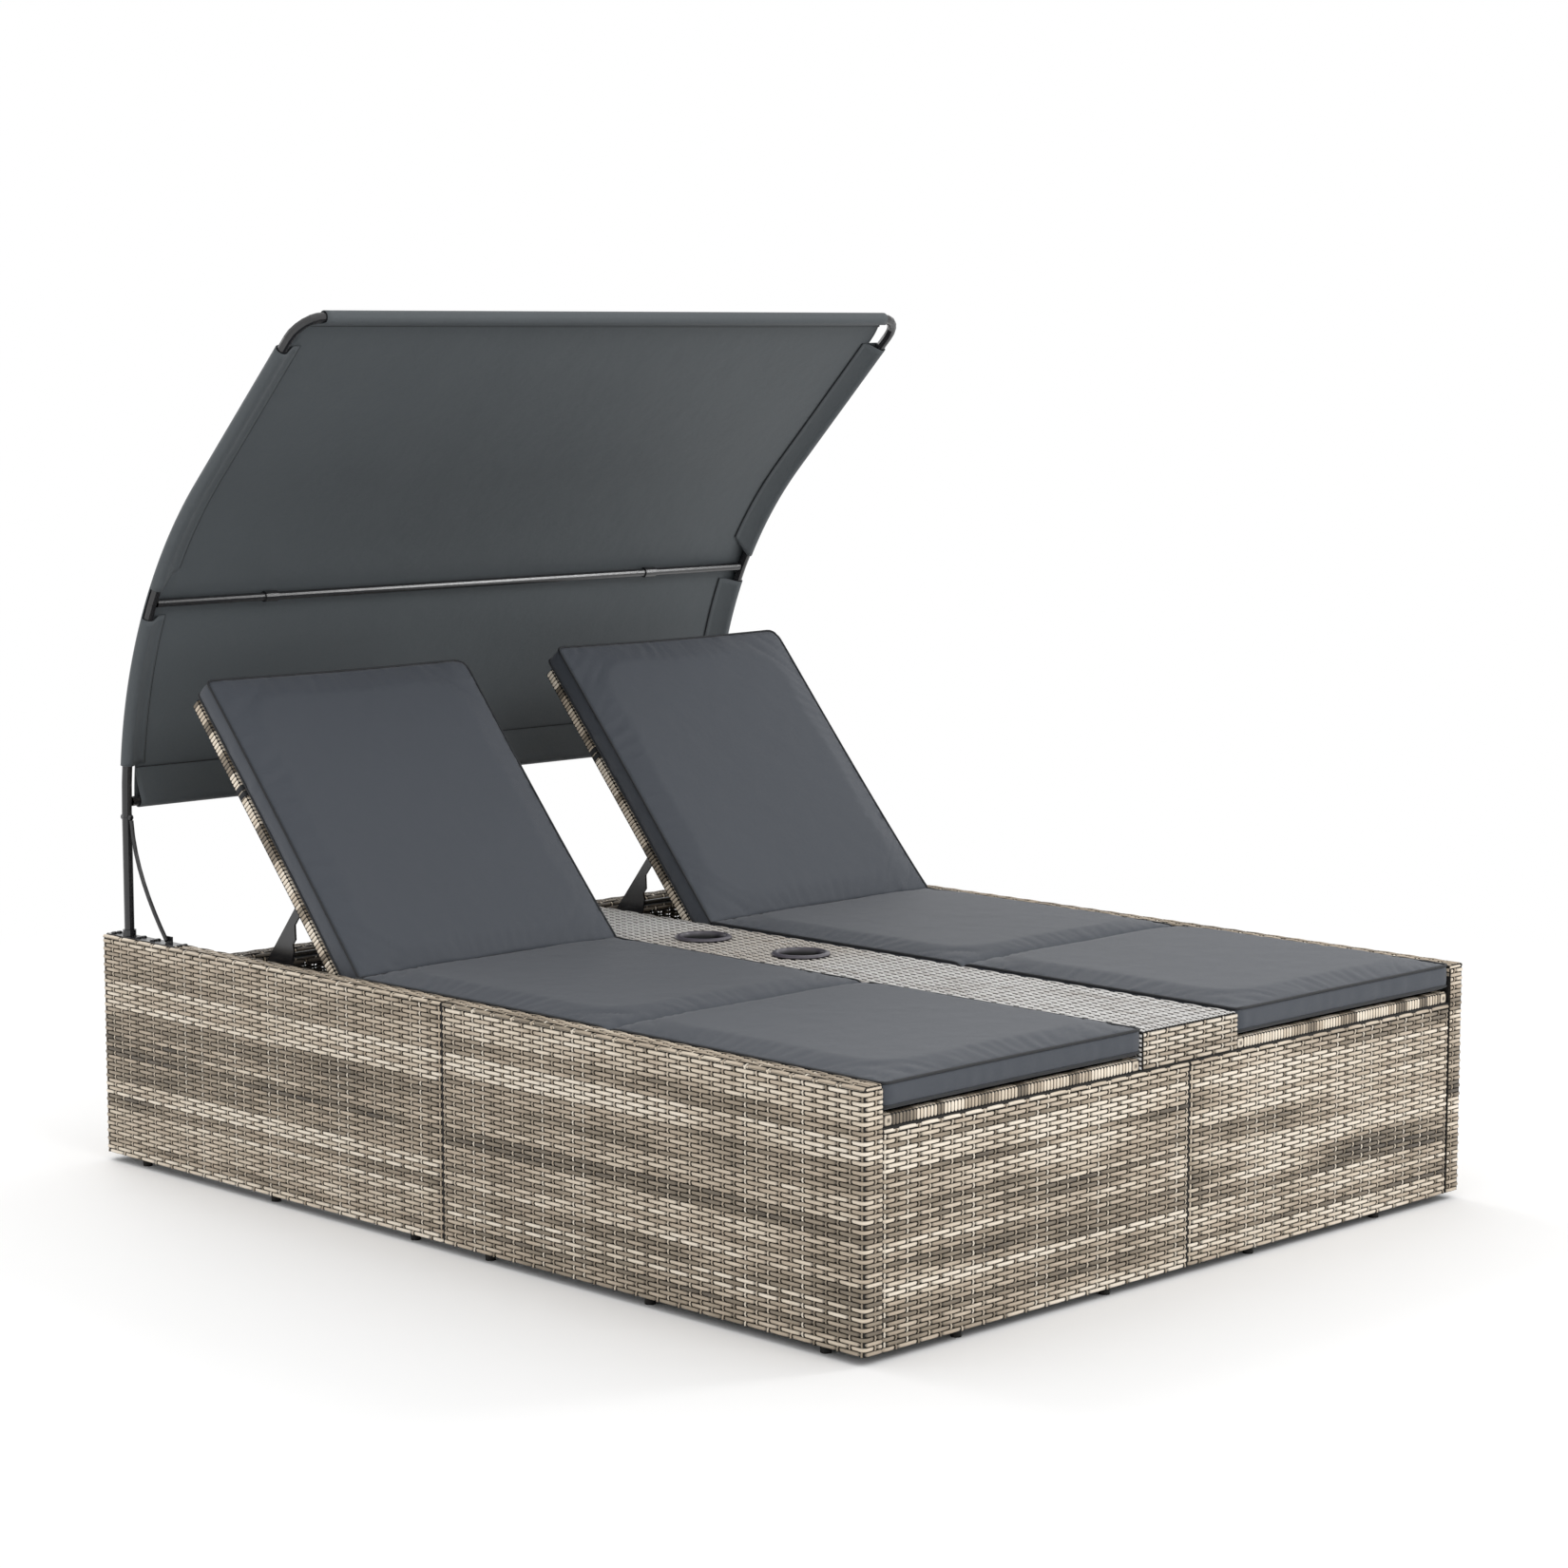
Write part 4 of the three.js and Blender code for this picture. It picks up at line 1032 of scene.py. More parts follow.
def wrapped_rail(weave, start, end, up):
    """A rail wound with strand: one low ridge per turn, in runs of light and dark strand, with painted
    shade in the grooves between turns.
    """
    start, end, up = (np.array(v, float) for v in (start, end, up))
    span = np.linalg.norm(end - start)
    along = (end - start) / span
    sideways = np.cross(along, up)
    turns = max(2, round(span / WRAP_PITCH))
    pitch = span / turns
    stations = []
    left_in_run = 0
    for turn in range(turns):
        if left_in_run == 0:
            (shortest, longest), levels = WRAP_RUNS[rng.integers(len(WRAP_RUNS))]
            left_in_run = rng.integers(shortest, longest + 1)
            tone = rng.choice(levels)
        left_in_run -= 1
        shade = tone + rng.normal(0.0, ROW_NOISE)
        # The profile's tone shifts paint shade into the grooves between turns
        for share, swell, shift in WRAP_PROFILE:
            stations.append(((turn + share) * pitch, swell, shade + shift, 1.0))
    for place, scale, shift in WRAP_END:
        first = (place, 0.0, stations[1][2] + shift, scale)
        last = (span - place, 0.0, stations[-2][2] + shift, scale)
        stations = [first, *stations, last]
    places, swells, tones, scales = np.array(stations).T
    outline = rail_outline(RAIL_HALF, RAIL_CORNER)
    section = outline * scales[:, None, None] + unit(outline) * swells[:, None, None]
    rings = start + along * places[:, None, None] + sideways * section[..., :1] + up * section[..., 1:]
    weave.rings(rings, tone_colours(tones))


def wound_frame(weave, locate, height, up, sides, crossings):
    """Two side rails between two places, and the cross rails between them, in a lounger's own frame."""
    middle = FRAME_HALF_WIDTH - RAIL_HALF
    inside = FRAME_HALF_WIDTH - 2 * RAIL_HALF
    for x in (-middle, middle):
        wrapped_rail(weave, *locate([(x, y, height) for y in sides]), up)
    for y in crossings:
        wrapped_rail(weave, *locate([(x, y, height) for x in (-inside, inside)]), up)


class Bay:
    """One lounger's places: the seat's frame of reference and the reclined back's."""

    def __init__(self, side):
        self.name = SIDES[side]
        self.x = side * BAY_CENTRE

    def seat(self, points):
        """Places given from the middle of the lounger, the origin's y and the floor."""
        return np.asarray(points, float) + (self.x, 0.0, 0.0)

    def back(self, points):
        """Places given across, up along and out of the back, from its hinge."""
        points = np.asarray(points, float)
        cosine, sine = math.cos(RECLINE), math.sin(RECLINE)
        across, along, out = points[..., 0], points[..., 1], points[..., 2]
        return np.stack((
            self.x + across,
            HINGE_Y + along * cosine - out * sine,
            RAIL_Z + along * sine + out * cosine,
        ), -1)


def seat_rails(bay):
    """The seat's wound frame: two side rails, and the foot and hinge rails between them."""
    weave = Weave()
    wound_frame(weave, bay.seat, RAIL_Z, UP, (FRAME_FOOT_Y, FRAME_HEAD_Y),
                (FRAME_FOOT_Y + RAIL_HALF, FRAME_HEAD_Y - RAIL_HALF))
    weave.piece(f"{bay.name}_seat_rail_wraps", "base")


def back_rails(bay):
    """The back's wound frame, and the woven rear of its deck."""
    weave = Weave()
    up_back = np.array((0.0, math.cos(RECLINE), math.sin(RECLINE)))
    normal = np.array((0.0, -math.sin(RECLINE), math.cos(RECLINE)))
    wound_frame(weave, bay.back, 0.0, normal, (-RAIL_HALF, BACK_LENGTH),
                (LOWER_RAIL_REACH + RAIL_HALF, BACK_LENGTH - RAIL_HALF))
    inside = FRAME_HALF_WIDTH - 2 * RAIL_HALF
    low = LOWER_RAIL_REACH + 2 * RAIL_HALF
    length = BACK_LENGTH - 2 * RAIL_HALF - low
    deck_rear = RAIL_HALF - DECK_DROP - DECK_THICKNESS

    def place(u, v):
        centre = bay.back(np.column_stack((inside - u, low + v, np.full(len(u), deck_rear))))
        out, along, travel = (np.tile(way, (len(u), 1)) for way in (-normal, (-1.0, 0.0, 0.0), up_back))
        return centre, out, along, travel

    ribs = even_places(2 * inside, RIB_PITCH)
    tones = row_tones(HEAD_SIDE_BANDS, round(length / ROW_PITCH))
    rib_colours = tone_colours(rib_tones(len(ribs)))
    weave_patch(weave, place, 2 * inside, length, ribs, tones, rib_colours, lift=0.0)
    weave.piece(f"{bay.name}_back_rail_wraps", f"{bay.name}_back")


def straps(bay):
    """Webbing loops that tie the cushion to the back's side rails, two folds on each."""
    loops = Weave()
    middle = FRAME_HALF_WIDTH - RAIL_HALF
    for x in (-middle, middle):
        outline = rail_outline(STRAP_HALF, STRAP_CORNER)
        across = x + outline[:, 0] - math.copysign(STRAP_SHIFT, x)
        for start in (STRAP_PLACE, STRAP_PLACE + STRAP_FOLD):
            rings = []
            for y in (start, start + STRAP_WIDTH):
                rings.append(bay.back(np.column_stack((across, np.full(len(across), y), outline[:, 1]))))
            loops.rings(np.stack(rings), np.ones((2, 4)))
    loops.piece(f"{bay.name}_back_straps", f"{bay.name}_back", WEBBING, "cushion_fabric")


# Fixings of the canopy


def turned_head(weave, place, axis, profile=SCREW_PROFILE):
    """A screw head: rings of a (height, radius) profile along an axis."""
    axis = unit(np.array(axis, float))
    aside = UP if abs(axis[2]) < NEARLY_UPRIGHT else np.array((1.0, 0.0, 0.0))
    circle = circle_round(axis, unit(np.cross(axis, aside)), SCREW_SIDES)
    rings = [np.array(place) + axis * height + circle * radius for height, radius in profile]
    weave.rings(np.stack(rings), np.ones((len(profile), 4)))


def canopy_fixings():
    """Screw heads along the post plates, and bolt heads where the side tubes meet the posts."""
    for side, name in SIDES.items():
        low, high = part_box(f"{name}_post_plate")
        heads = Weave()
        for y in SCREW_PLACES:
            for x in (low[0] + SCREW_INSET, high[0] - SCREW_INSET):
                turned_head(heads, (x, y, low[2] + PLATE_THICKNESS), UP)
        for way in (-1, 1):
            place = (side * POST_X, POST_Y + way * POST_RADIUS, JOINT_BOLT_Z)
            turned_head(heads, place, (0, way, 0), BOLT_PROFILE)
        heads.piece(f"{name}_canopy_fixings", "base", COAT, "steel")


# Cushions


def rounded_corners(points, half_width, low, high, radii):
    """Plan places whose four corners are drawn onto arcs, radii from low left to high right."""
    for index, (end, inward) in enumerate(((low, 1), (high, -1))):
        for sign, radius in zip((-1, 1), radii[2 * index:]):
            centre = np.array((sign * (half_width - radius), end + inward * radius))
            offset = points - centre
            a = offset[..., 0] * sign
            b = -offset[..., 1] * inward
            inside = (a > 0) & (b > 0)
            scale = np.where(inside, np.maximum(a, b) / np.maximum(np.hypot(a, b), TINY ** 2), 1.0)
            points = np.where(inside[..., None], centre + offset * scale[..., None], points)
    return points


def smooth_noise(count, spacing):
    """A run of smoothly changing random values, one per place."""
    nodes = rng.normal(0.0, 1.0, int(count / spacing) + 4)
    place = np.arange(count) / spacing + 1
    lower = place.astype(int)
    share = place - lower
    share = share * share * (3 - 2 * share)
    return nodes[lower] * (1 - share) + nodes[lower + 1] * share


def seam_puckers(width, length, across, along, channels):
    """Short pulled folds that run in from the seams, as heights over the grid."""

    def folds(distance):
        return np.exp(-distance / PUCKER_REACH) * np.clip(distance / PUCKER_START, 0, 1)

    height = np.zeros(across.shape)
    rows, columns = across.shape
    for distance, waves in (
        (width / 2 + across, smooth_noise(rows, PUCKER_CELLS)[:, None]),
        (width / 2 - across, smooth_noise(rows, PUCKER_CELLS)[:, None]),
        (along, smooth_noise(columns, PUCKER_CELLS)[None, :]),
        (length - along, smooth_noise(columns, PUCKER_CELLS)[None, :]),
    ):
        height += waves * PUCKER_HEIGHT * folds(distance)
    for channel in channels:
        for side in (-1, 1):
            distance = side * (along - channel)
            waves = smooth_noise(columns, PUCKER_CELLS)[None, :]
            height += np.where(distance > 0, waves * PUCKER_HEIGHT * folds(np.abs(distance)), 0.0)
    return height


def inflated(heights, across, along, pinned):
    """The top panel blown up by cloth pressure between its pinned seams, as new heights."""
    index = grid_of(*heights.shape)
    verts = np.stack((across, along, heights), -1).reshape(-1, 3)
    panel = new_object(new_mesh("pressed_panel", verts, grid_quads(index)))
    panel.vertex_groups.new(name="seams").add([int(i) for i in index[pinned]], 1.0, "REPLACE")
    cloth = panel.modifiers.new("cloth", "CLOTH")
    for label, value in CLOTH_SETTINGS.items():
        setattr(cloth.settings, label, value)
    cloth.settings.effector_weights.gravity = 0.0
    cloth.collision_settings.use_collision = False
    cloth.point_cache.frame_start = 1
    cloth.point_cache.frame_end = CLOTH_FRAMES
    scene = bpy.context.scene
    for moment in range(1, CLOTH_FRAMES + 1):
        scene.frame_set(moment)
    pressed = panel.evaluated_get(bpy.context.evaluated_depsgraph_get()).data
    places = np.empty(3 * index.size, np.float32)
    pressed.vertices.foreach_get("co", places)
    bpy.data.objects.remove(panel)
    scene.frame_set(1)
    moved = places.reshape(*index.shape, 3)[..., 2] - heights
    return heights + np.clip(moved, -CUSHION_MOVE_LIMIT, CUSHION_MOVE_LIMIT)


def swelling(across, along, channels):
    """How far the top swells over the grid, from 0 at the seams and channels to 1."""
    edges = [0.0, *channels, 1.0]
    swell = np.zeros(across.shape)
    for first, last in zip(edges, edges[1:]):
        part = (along >= first) & (along <= last)
        swell[part] = 1 - np.abs(2 * (along[part] - first) / (last - first) - 1) ** SWELL_POWER
    return swell * (1 - np.abs(2 * across - 1) ** SWELL_POWER)


class Cushion:
    """A boxed cushion: a crowned top, a straight wall and a rounded underside, with piped seams."""

    def __init__(self, name, width, corners, bottom, top, floor, place, channels=(), front_lift=0.0):
        self.name = name
        self.place = place
        self.width = width
        self.corners = corners
        length = bottom[1] - bottom[0]
        share_across = np.linspace(0.0, 1.0, round(width / CUSHION_CELL) + 1)
        share_along = np.linspace(0.0, 1.0, round(length / CUSHION_CELL) + 1)
        for channel in channels:
            share_along[np.argmin(np.abs(share_along - channel))] = channel
        across, along = np.meshgrid(share_across, share_along)
        low = self.plan(across, along, bottom)
        high = self.plan(across, along, top)
        seam = np.zeros(across.shape, bool)
        seam[[0, -1]] = True
        seam[:, [0, -1]] = True
        for channel in channels:
            seam |= np.isclose(along, channel)

        swell = swelling(across, along, channels)
        wall_top = floor + SEAM_RISE + CUSHION_WALL
        heights = wall_top + front_lift * (1 - along) ** FRONT_LIFT_POWER
        start = heights + START_SHARE * CUSHION_CROWN * swell
        heights = inflated(start, high[..., 0], high[..., 1], seam)
        heights = np.minimum(heights, wall_top + CUSHION_CROWN + CROWN_SPARE)
        channel_places = [channel * length for channel in channels]
        for channel in channel_places:
            heights -= CHANNEL_DEPTH * np.exp(-np.abs(along * length - channel) / CHANNEL_REACH)
        heights += seam_puckers(width, length, (across - 0.5) * width, along * length, channel_places)
        to_edge = np.minimum(np.minimum(across, 1 - across) * width, np.minimum(along, 1 - along) * length)
        belly = SEAM_RISE * (1 - np.clip(to_edge / BELLY_REACH, 0, 1)) ** 2
        self.top = np.dstack((high, heights))
        self.base = np.dstack((low, floor + belly))

    def plan(self, across, along, ends):
        """Places in plan of the grid between two ends, its sides drawn in between the corners."""
        draw_x = CUSHION_DRAW_IN * np.sin(math.pi * along)
        draw_y = CUSHION_DRAW_IN * np.sin(math.pi * across)
        half = self.width / 2
        x = (across - 0.5) * 2 * (half - draw_x)
        y = ends[0] + draw_y + (ends[1] - ends[0] - 2 * draw_y) * along
        return rounded_corners(np.dstack((x, y)), half, *ends, self.corners)

    def build(self, body=None):
        """The pad and its piping, as two objects."""
        index = grid_of(*self.top.shape[:2])
        top = self.top.reshape(-1, 3)
        base = self.base.reshape(-1, 3)
        rim = np.concatenate((index[0, :-1], index[:-1, -1], index[-1, :0:-1], index[:0:-1, 0]))
        upper, lower = top[rim], base[rim]
        middle = lower.mean(0)
        on_side = self.width / 2 - np.abs(lower[:, :1]) < SIDE_REACH
        outward = np.where(on_side, np.sign(lower[:, :1]) * (1.0, 0.0, 0.0),
                           np.sign(lower[:, 1:2] - middle[1]) * (0.0, 1.0, 0.0))
        wrinkles = smooth_noise(len(rim), PUCKER_CELLS) * WALL_WRINKLE
        loops = []
        rings = [index.size + rim]
        for level in range(1, WALL_LEVELS):
            share = level / WALL_LEVELS
            bulge = math.sin(math.pi * share) * WALL_BULGE + wrinkles * math.sin(math.pi * share)
            loops.append(lower + (upper - lower) * share + outward * bulge[:, None])
            rings.append(2 * index.size + (level - 1) * len(rim) + np.arange(len(rim)))
        rings.append(rim)
        walls = []
        for below, above in zip(rings, rings[1:]):
            walls.append(np.stack((below, np.roll(below, -1), np.roll(above, -1), above), -1))
        grid = grid_quads(index).reshape(-1, 4)
        quads = np.concatenate([grid, grid[:, ::-1] + index.size, *walls])
        verts = self.place(np.concatenate([top, base, *loops]))
        piece = new_object(new_mesh(self.name, verts, quads), CUSHION_CLOTH)
        piping = self.piping(upper, lower, outward)
        for part in (piece, piping):
            if body:
                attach(part, body)
        return piece, piping

    def piping(self, upper, lower, outward):
        """Two fine cords round the top and bottom seams; their dark colour is painted shade of the seams'
        grooves.
        """
        verts, quads = [], []
        for number, (loop, lift) in enumerate(((upper, 0.0), (lower, PIPING_RADIUS))):
            path = loop + outward * PIPING_OUT + UP * lift
            along = unit(np.roll(path, -1, 0) - np.roll(path, 1, 0))
            circle = circle_round(-along, unit(np.cross(along, UP)), PIPING_SIDES)
            verts.append((path[:, None] + PIPING_RADIUS * circle).reshape(-1, 3))
            index = grid_of(len(path), PIPING_SIDES, number * len(path) * PIPING_SIDES)
            after = np.roll(index, -1, 0)
            quads.append(np.stack((index, np.roll(index, -1, 1), np.roll(after, -1, 1), after), -1))
        mesh = new_mesh(f"{self.name}_piping", self.place(np.concatenate(verts)), np.concatenate(quads))
        return new_object(mesh, PAINTED_SEAM_SHADE_CLOTH)


def lounger_cushions(bay):
    """The seat pad with its sewn channel, and the back pad that lies on the reclined back."""
    seat_floor = RAIL_Z + RAIL_HALF + SEAT_RISE
    seat_bottom = (-HALF_LENGTH, HINGE_Y - SEAT_END_GAP)
    seat_top = (-HALF_LENGTH, CREASE_Y - CREASE_OVERLAP)
    seat = Cushion(f"{bay.name}_seat_pad", SEAT_WIDTH, SEAT_CORNERS, seat_bottom, seat_top, seat_floor,
                   bay.seat, channels=(SEAT_CHANNEL,))
    piece, _ = seat.build("base")
    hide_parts(f"{bay.name}_seat_cushion")

    def shifted(points):
        return bay.back(np.asarray(points) + (BACK_PAD_SHIFT[bay.name], 0.0, 0.0))

    end = BACK_LENGTH + BACK_PAD_OVERHANG[bay.name]
    back = Cushion(f"{bay.name}_back_pad", BACK_WIDTH, BACK_CORNERS, (BACK_PAD_START, end),
                   (BACK_PAD_LIP, end), RAIL_HALF + FIT, shifted, front_lift=BACK_FRONT_LIFT)
    pieces = back.build()
    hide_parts(f"{bay.name}_back_cushion")
    start = bay.back((0.0, BLEND_START, BLEND_OUT))
    end = bay.back((0.0, BLEND_END, BLEND_OUT))
    for part in pieces:
        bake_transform(part)


# Canopy


def arch(distance):
    """Places and outward directions on the side tubes' line, by distance above its start."""
    bend = ARCH_RADIUS * ARCH_END
    angle = np.clip(distance, 0.0, bend) / ARCH_RADIUS
    direction = np.stack((-np.sin(angle), np.cos(angle)), -1)
    outward = np.stack((np.cos(angle), np.sin(angle)), -1)
    y = POST_Y - ARCH_RADIUS * (1 - np.cos(angle))
    z = ARCH_START_Z + ARCH_RADIUS * np.sin(angle)
    beyond = np.where(distance > bend, distance - bend, np.minimum(distance, 0.0))
    return np.stack((y, z), -1) + direction * beyond[..., None], outward


def arch_distance(height):
    """How far along the arch a height is reached."""
    return ARCH_RADIUS * math.asin((height - ARCH_START_Z) / ARCH_RADIUS)


def wrap_profile(flap, stitch):
    """Places round a tube's section, from the flap inside, round the far side to the near side's top."""
    inner = SLEEVE_RADIUS - LAYER_GAP
    profile = [(flap, inner), ((flap + stitch) / 2, inner), (stitch, inner)]
    angles = np.radians(np.linspace(*WRAP_ANGLES, WRAP_STEPS))
    return profile + [(SLEEVE_RADIUS * math.cos(a), SLEEVE_RADIUS * math.sin(a)) for a in angles]


class CanopyGrid:
    """The canopy's grid: rows along the arch and columns across it, hems and sleeves included."""

    def __init__(self):
        self.rear = arch_distance(REAR_BAR_Z)
        self.sleeve_low = arch_distance(SLEEVE_START_Z)
        self.middle = ARCH_RADIUS * MID_BAR_ANGLE
        self.top = ARCH_RADIUS * ARCH_END + ARCH_LEG
        self.sleeve_high = self.top - SLEEVE_CORNER_GAP
        self.s, self.s_out, self.in_hem = (np.array(part) for part in zip(*self.rows()))
        self.x, self.x_out, self.in_sleeve = (np.array(part) for part in zip(*self.columns()))

    def rows(self):
        """Each row's distance along the arch, its height over the tubes' line and if it is a hem's."""
        marks = [self.rear, self.sleeve_low, self.middle - SLOT_HALF, self.middle + SLOT_HALF,
                 self.sleeve_high, self.top]
        inner = []
        for low, high in zip(marks, marks[1:]):
            steps = max(2, round((high - low) / SHEET_CELL))
            inner += list(np.linspace(low, high, steps + 1)[:-1])
        rear_hem = wrap_profile(REAR_HEM_FLAP, REAR_HEM_STITCH)
        top_hem = wrap_profile(HEM_FLAP, HEM_STITCH)
        rows = [(self.rear + along, out, True) for along, out in rear_hem]
        rows += [(s, SLEEVE_RADIUS, False) for s in inner[1:]]
        return rows + [(self.top - along, out, True) for along, out in reversed(top_hem)]

    def columns(self):
        """Each column's place across, its height over the tubes' line and if it is a sleeve's."""
        reach = POST_X - EDGE_INSET
        sleeve = wrap_profile(SLEEVE_FLAP, SLEEVE_STITCH)
        left = [(along - POST_X, out, True) for along, out in sleeve]
        left += [(-x, SLEEVE_RADIUS, False) for x in np.linspace(reach, 0.0, round(reach / SHEET_CELL) + 1)]
        return left + [(-x, out, kind) for x, out, kind in reversed(left[:-1])]

    def verts(self):
        """The grid's places."""
        grid_x, grid_s = np.meshgrid(self.x, self.s)
        in_sleeve, in_hem = self.in_sleeve[None, :], self.in_hem[:, None]
        # The sheet narrows from the sleeves to the hems' ends
        corner_share = np.clip((self.s - self.sleeve_high) / (self.top - self.sleeve_high), 0.0, 1.0)
        edge = EDGE_INSET + (TOP_HEM_INSET - EDGE_INSET) * corner_share ** CORNER_CURVE
        narrowing = (POST_X - edge) / (POST_X - EDGE_INSET)
        grid_x = np.where(in_sleeve, grid_x, grid_x * narrowing[:, None])
        # The upper flaps are cut off slantwise above the slots
        from_tube = POST_X - np.abs(grid_x) - FLAP_CUT_FROM
        flap_share = np.clip(from_tube / (SLEEVE_FLAP - FLAP_CUT_FROM), 0.0, 1.0)
        above = grid_s - (self.middle + SLOT_HALF)
        cut = np.where((above > -TINY) & in_sleeve, np.clip(1 - above / FLAP_CUT_FADE, 0.0, 1.0), 0.0)
        grid_s = grid_s + FLAP_CUT * flap_share * cut
        # Between the bars the cloth is drawn in a little at the middle
        out = np.where(in_sleeve, self.x_out[None, :], self.s_out[:, None])
        inner_share = np.clip(1 - (grid_x / POST_X) ** SAG_POWER, 0.0, 1.0)
        round_bar = self.in_hem.copy()
        round_bar[:FLAP_ROWS] = False
        round_bar[-FLAP_ROWS:] = False
        for low, high, depth in ((self.rear, self.middle, LOWER_SAG), (self.middle, self.top, UPPER_SAG)):
            share = np.clip((grid_s - low) / (high - low), 0.0, 1.0)
            out = out - np.where(round_bar[:, None], 0.0, depth * np.sin(math.pi * share) * inner_share)
        past_bar = (grid_s - self.middle) / MID_BAR_LIFT_REACH
        out = out + MID_BAR_LIFT * inner_share * np.exp(-past_bar ** 2)
        out = out + np.where(in_hem | in_sleeve, 0.0, RIPPLE * self.ripples() * inner_share)
        place, outward = arch(grid_s)
        return np.dstack((grid_x, place + outward * out[..., None]))

    def ripples(self):
        """Faint waves along and across the cloth."""
        rows, columns = len(self.s), len(self.x)
        fine, coarse = smooth_noise(columns, RIPPLE_CELLS), smooth_noise(rows, 3 * RIPPLE_CELLS)
        waves = fine[None, :] * coarse[:, None]
        fine, coarse = smooth_noise(rows, RIPPLE_CELLS), smooth_noise(columns, 3 * RIPPLE_CELLS)
        return waves + fine[:, None] * coarse[None, :]

    def kept_faces(self):
        """Which faces are cloth, and which rows of them have sleeves.

        Sleeves stop short of the corners, and the slots for the middle bar are open.
        """
        s = (self.s[:-1] + self.s[1:]) / 2
        x = (self.x[:-1] + self.x[1:]) / 2
        in_hem = self.in_hem[:-1] & self.in_hem[1:]
        touches_sleeve = self.in_sleeve[:-1] | self.in_sleeve[1:]
        far_side = touches_sleeve & (np.minimum(self.x_out[:-1], self.x_out[1:]) < SLOT_REACH)
        near_flap = self.in_sleeve[:-1] & self.in_sleeve[1:] & (np.abs(x) < POST_X)
        sleeve_rows = (s > self.sleeve_low) & (s < self.sleeve_high) & ~in_hem
        slot_rows = (np.abs(s - self.middle) < SLOT_HALF) & ~in_hem
        keep = ~touches_sleeve[None, :] | sleeve_rows[:, None]
        keep &= ~(slot_rows[:, None] & (far_side | near_flap)[None, :])
        return keep, sleeve_rows & ~slot_rows


def canopy_sheet():
    """One sheet: hems round the rear and top bars, sleeves round the side tubes."""
    grid = CanopyGrid()
    verts = grid.verts()
    keep, sleeve_rows = grid.kept_faces()
    quads = grid_quads(grid_of(*verts.shape[:2]))[keep]
    used = np.unique(quads)
    renumber = np.zeros(quads.max() + 1, int)
    renumber[used] = np.arange(len(used))
    piece = new_object(new_mesh("canopy_sheet", verts.reshape(-1, 3)[used], renumber[quads]), CANOPY_CLOTH)
    solid = piece.modifiers.new("thickness", "SOLIDIFY")
    solid.thickness = CLOTH_THICKNESS
    solid.offset = 0.0
    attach(piece, "base")
    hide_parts("canopy_cloth")
    # Dark cords at the flaps' and hems' edges are painted shade
    painted_edges = painted_edge_cords(verts, sleeve_rows)


def painted_edge_cords(verts, sleeve_rows):
    """Dark cords along the flaps' edges and the hems' edges: painted shade at those edges."""
    threads = Weave()
    for column in (0, -1):
        for first, last in runs(np.concatenate((sleeve_rows, [False]))):
            thread(threads, verts[first:last + 1, column])
    sleeve = len(wrap_profile(SLEEVE_FLAP, SLEEVE_STITCH))
    for row in (0, -1):
        thread(threads, verts[row, sleeve:-sleeve])
    return threads.piece("canopy_painted_edge_shade", "base", PAINTED_SEAM_SHADE_CLOTH, "canopy_fabric")


def thread(weave, path):
    """A thin round cord along a path."""
    along = unit(np.gradient(path, axis=0))
    sideways = unit(np.cross(along, np.cross(along, UP) + UP * THREAD_LEAN))
    circle = circle_round(along, sideways, THREAD_SIDES)
    weave.rings(path[:, None] + THREAD_RADIUS * circle, np.ones((len(path), 4)))


# Cup holders


def cup_holders():
    """Glossy cups with a rounded lip that stands on the console's weave, turned from one profile."""
    radii, heights = np.array(CUP_PROFILE).T
    angles = np.arange(CUP_STEPS)[:, None] * 2 * math.pi / CUP_STEPS
    places = np.stack(np.broadcast_arrays(radii * np.cos(angles), radii * np.sin(angles), heights), -1)
    index = grid_of(CUP_STEPS, len(CUP_PROFILE))
    after = np.roll(index, -1, 0)
    quads = np.stack((index[:, :-1], after[:, :-1], after[:, 1:], index[:, 1:]), -1)
    for end in ENDS:
        low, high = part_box(f"cup_holder_{end}")
        centre = np.array(((low[0] + high[0]) / 2, (low[1] + high[1]) / 2, high[2] + CUP_RISE))
        mesh = new_mesh(f"drink_holder_{end}", places.reshape(-1, 3) + centre, quads,
                        (index[::-1, 0], index[:, -1]))
        piece = new_object(mesh, GLOSS)
        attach(piece, "base")
        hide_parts(f"cup_holder_{end}")


# Stage, light and camera


def studio():
    """The camera, the white surroundings, the lamps and the floor."""
    scene = bpy.context.scene
    scene.view_settings.view_transform = "Standard"
    camera = bpy.data.objects.new("camera", bpy.data.cameras.new("camera"))
    camera.data.lens = CAMERA_LENS
    camera.data.sensor_width = CAMERA_SENSOR
    camera.location = CAMERA_PLACE
    camera.rotation_euler = (math.pi / 2 - CAMERA_PITCH, 0.0, -CAMERA_YAW)
    scene.collection.objects.link(camera)
    scene.camera = camera

    world = bpy.data.worlds.new("studio")
    world.use_nodes = True
    scene.world = world
    nodes, links = world.node_tree.nodes, world.node_tree.links
    light_path = nodes.new("ShaderNodeLightPath")
    seen = nodes.new("ShaderNodeMath")
    seen.operation = "MAXIMUM"
    links.new(light_path.outputs["Is Camera Ray"], seen.inputs[0])
    links.new(light_path.outputs["Is Glossy Ray"], seen.inputs[1])
    level = nodes.new("ShaderNodeMapRange")
    level.inputs["To Min"].default_value = WORLD_LIGHT
    level.inputs["To Max"].default_value = 1.0
    links.new(seen.outputs[0], level.inputs["Value"])
    background = nodes["Background"]
    background.inputs["Color"].default_value = WHITE
    links.new(level.outputs["Result"], background.inputs["Strength"])

    for name, (place, size, power) in LAMPS.items():
        lamp(name, place, size, power)
    floor()


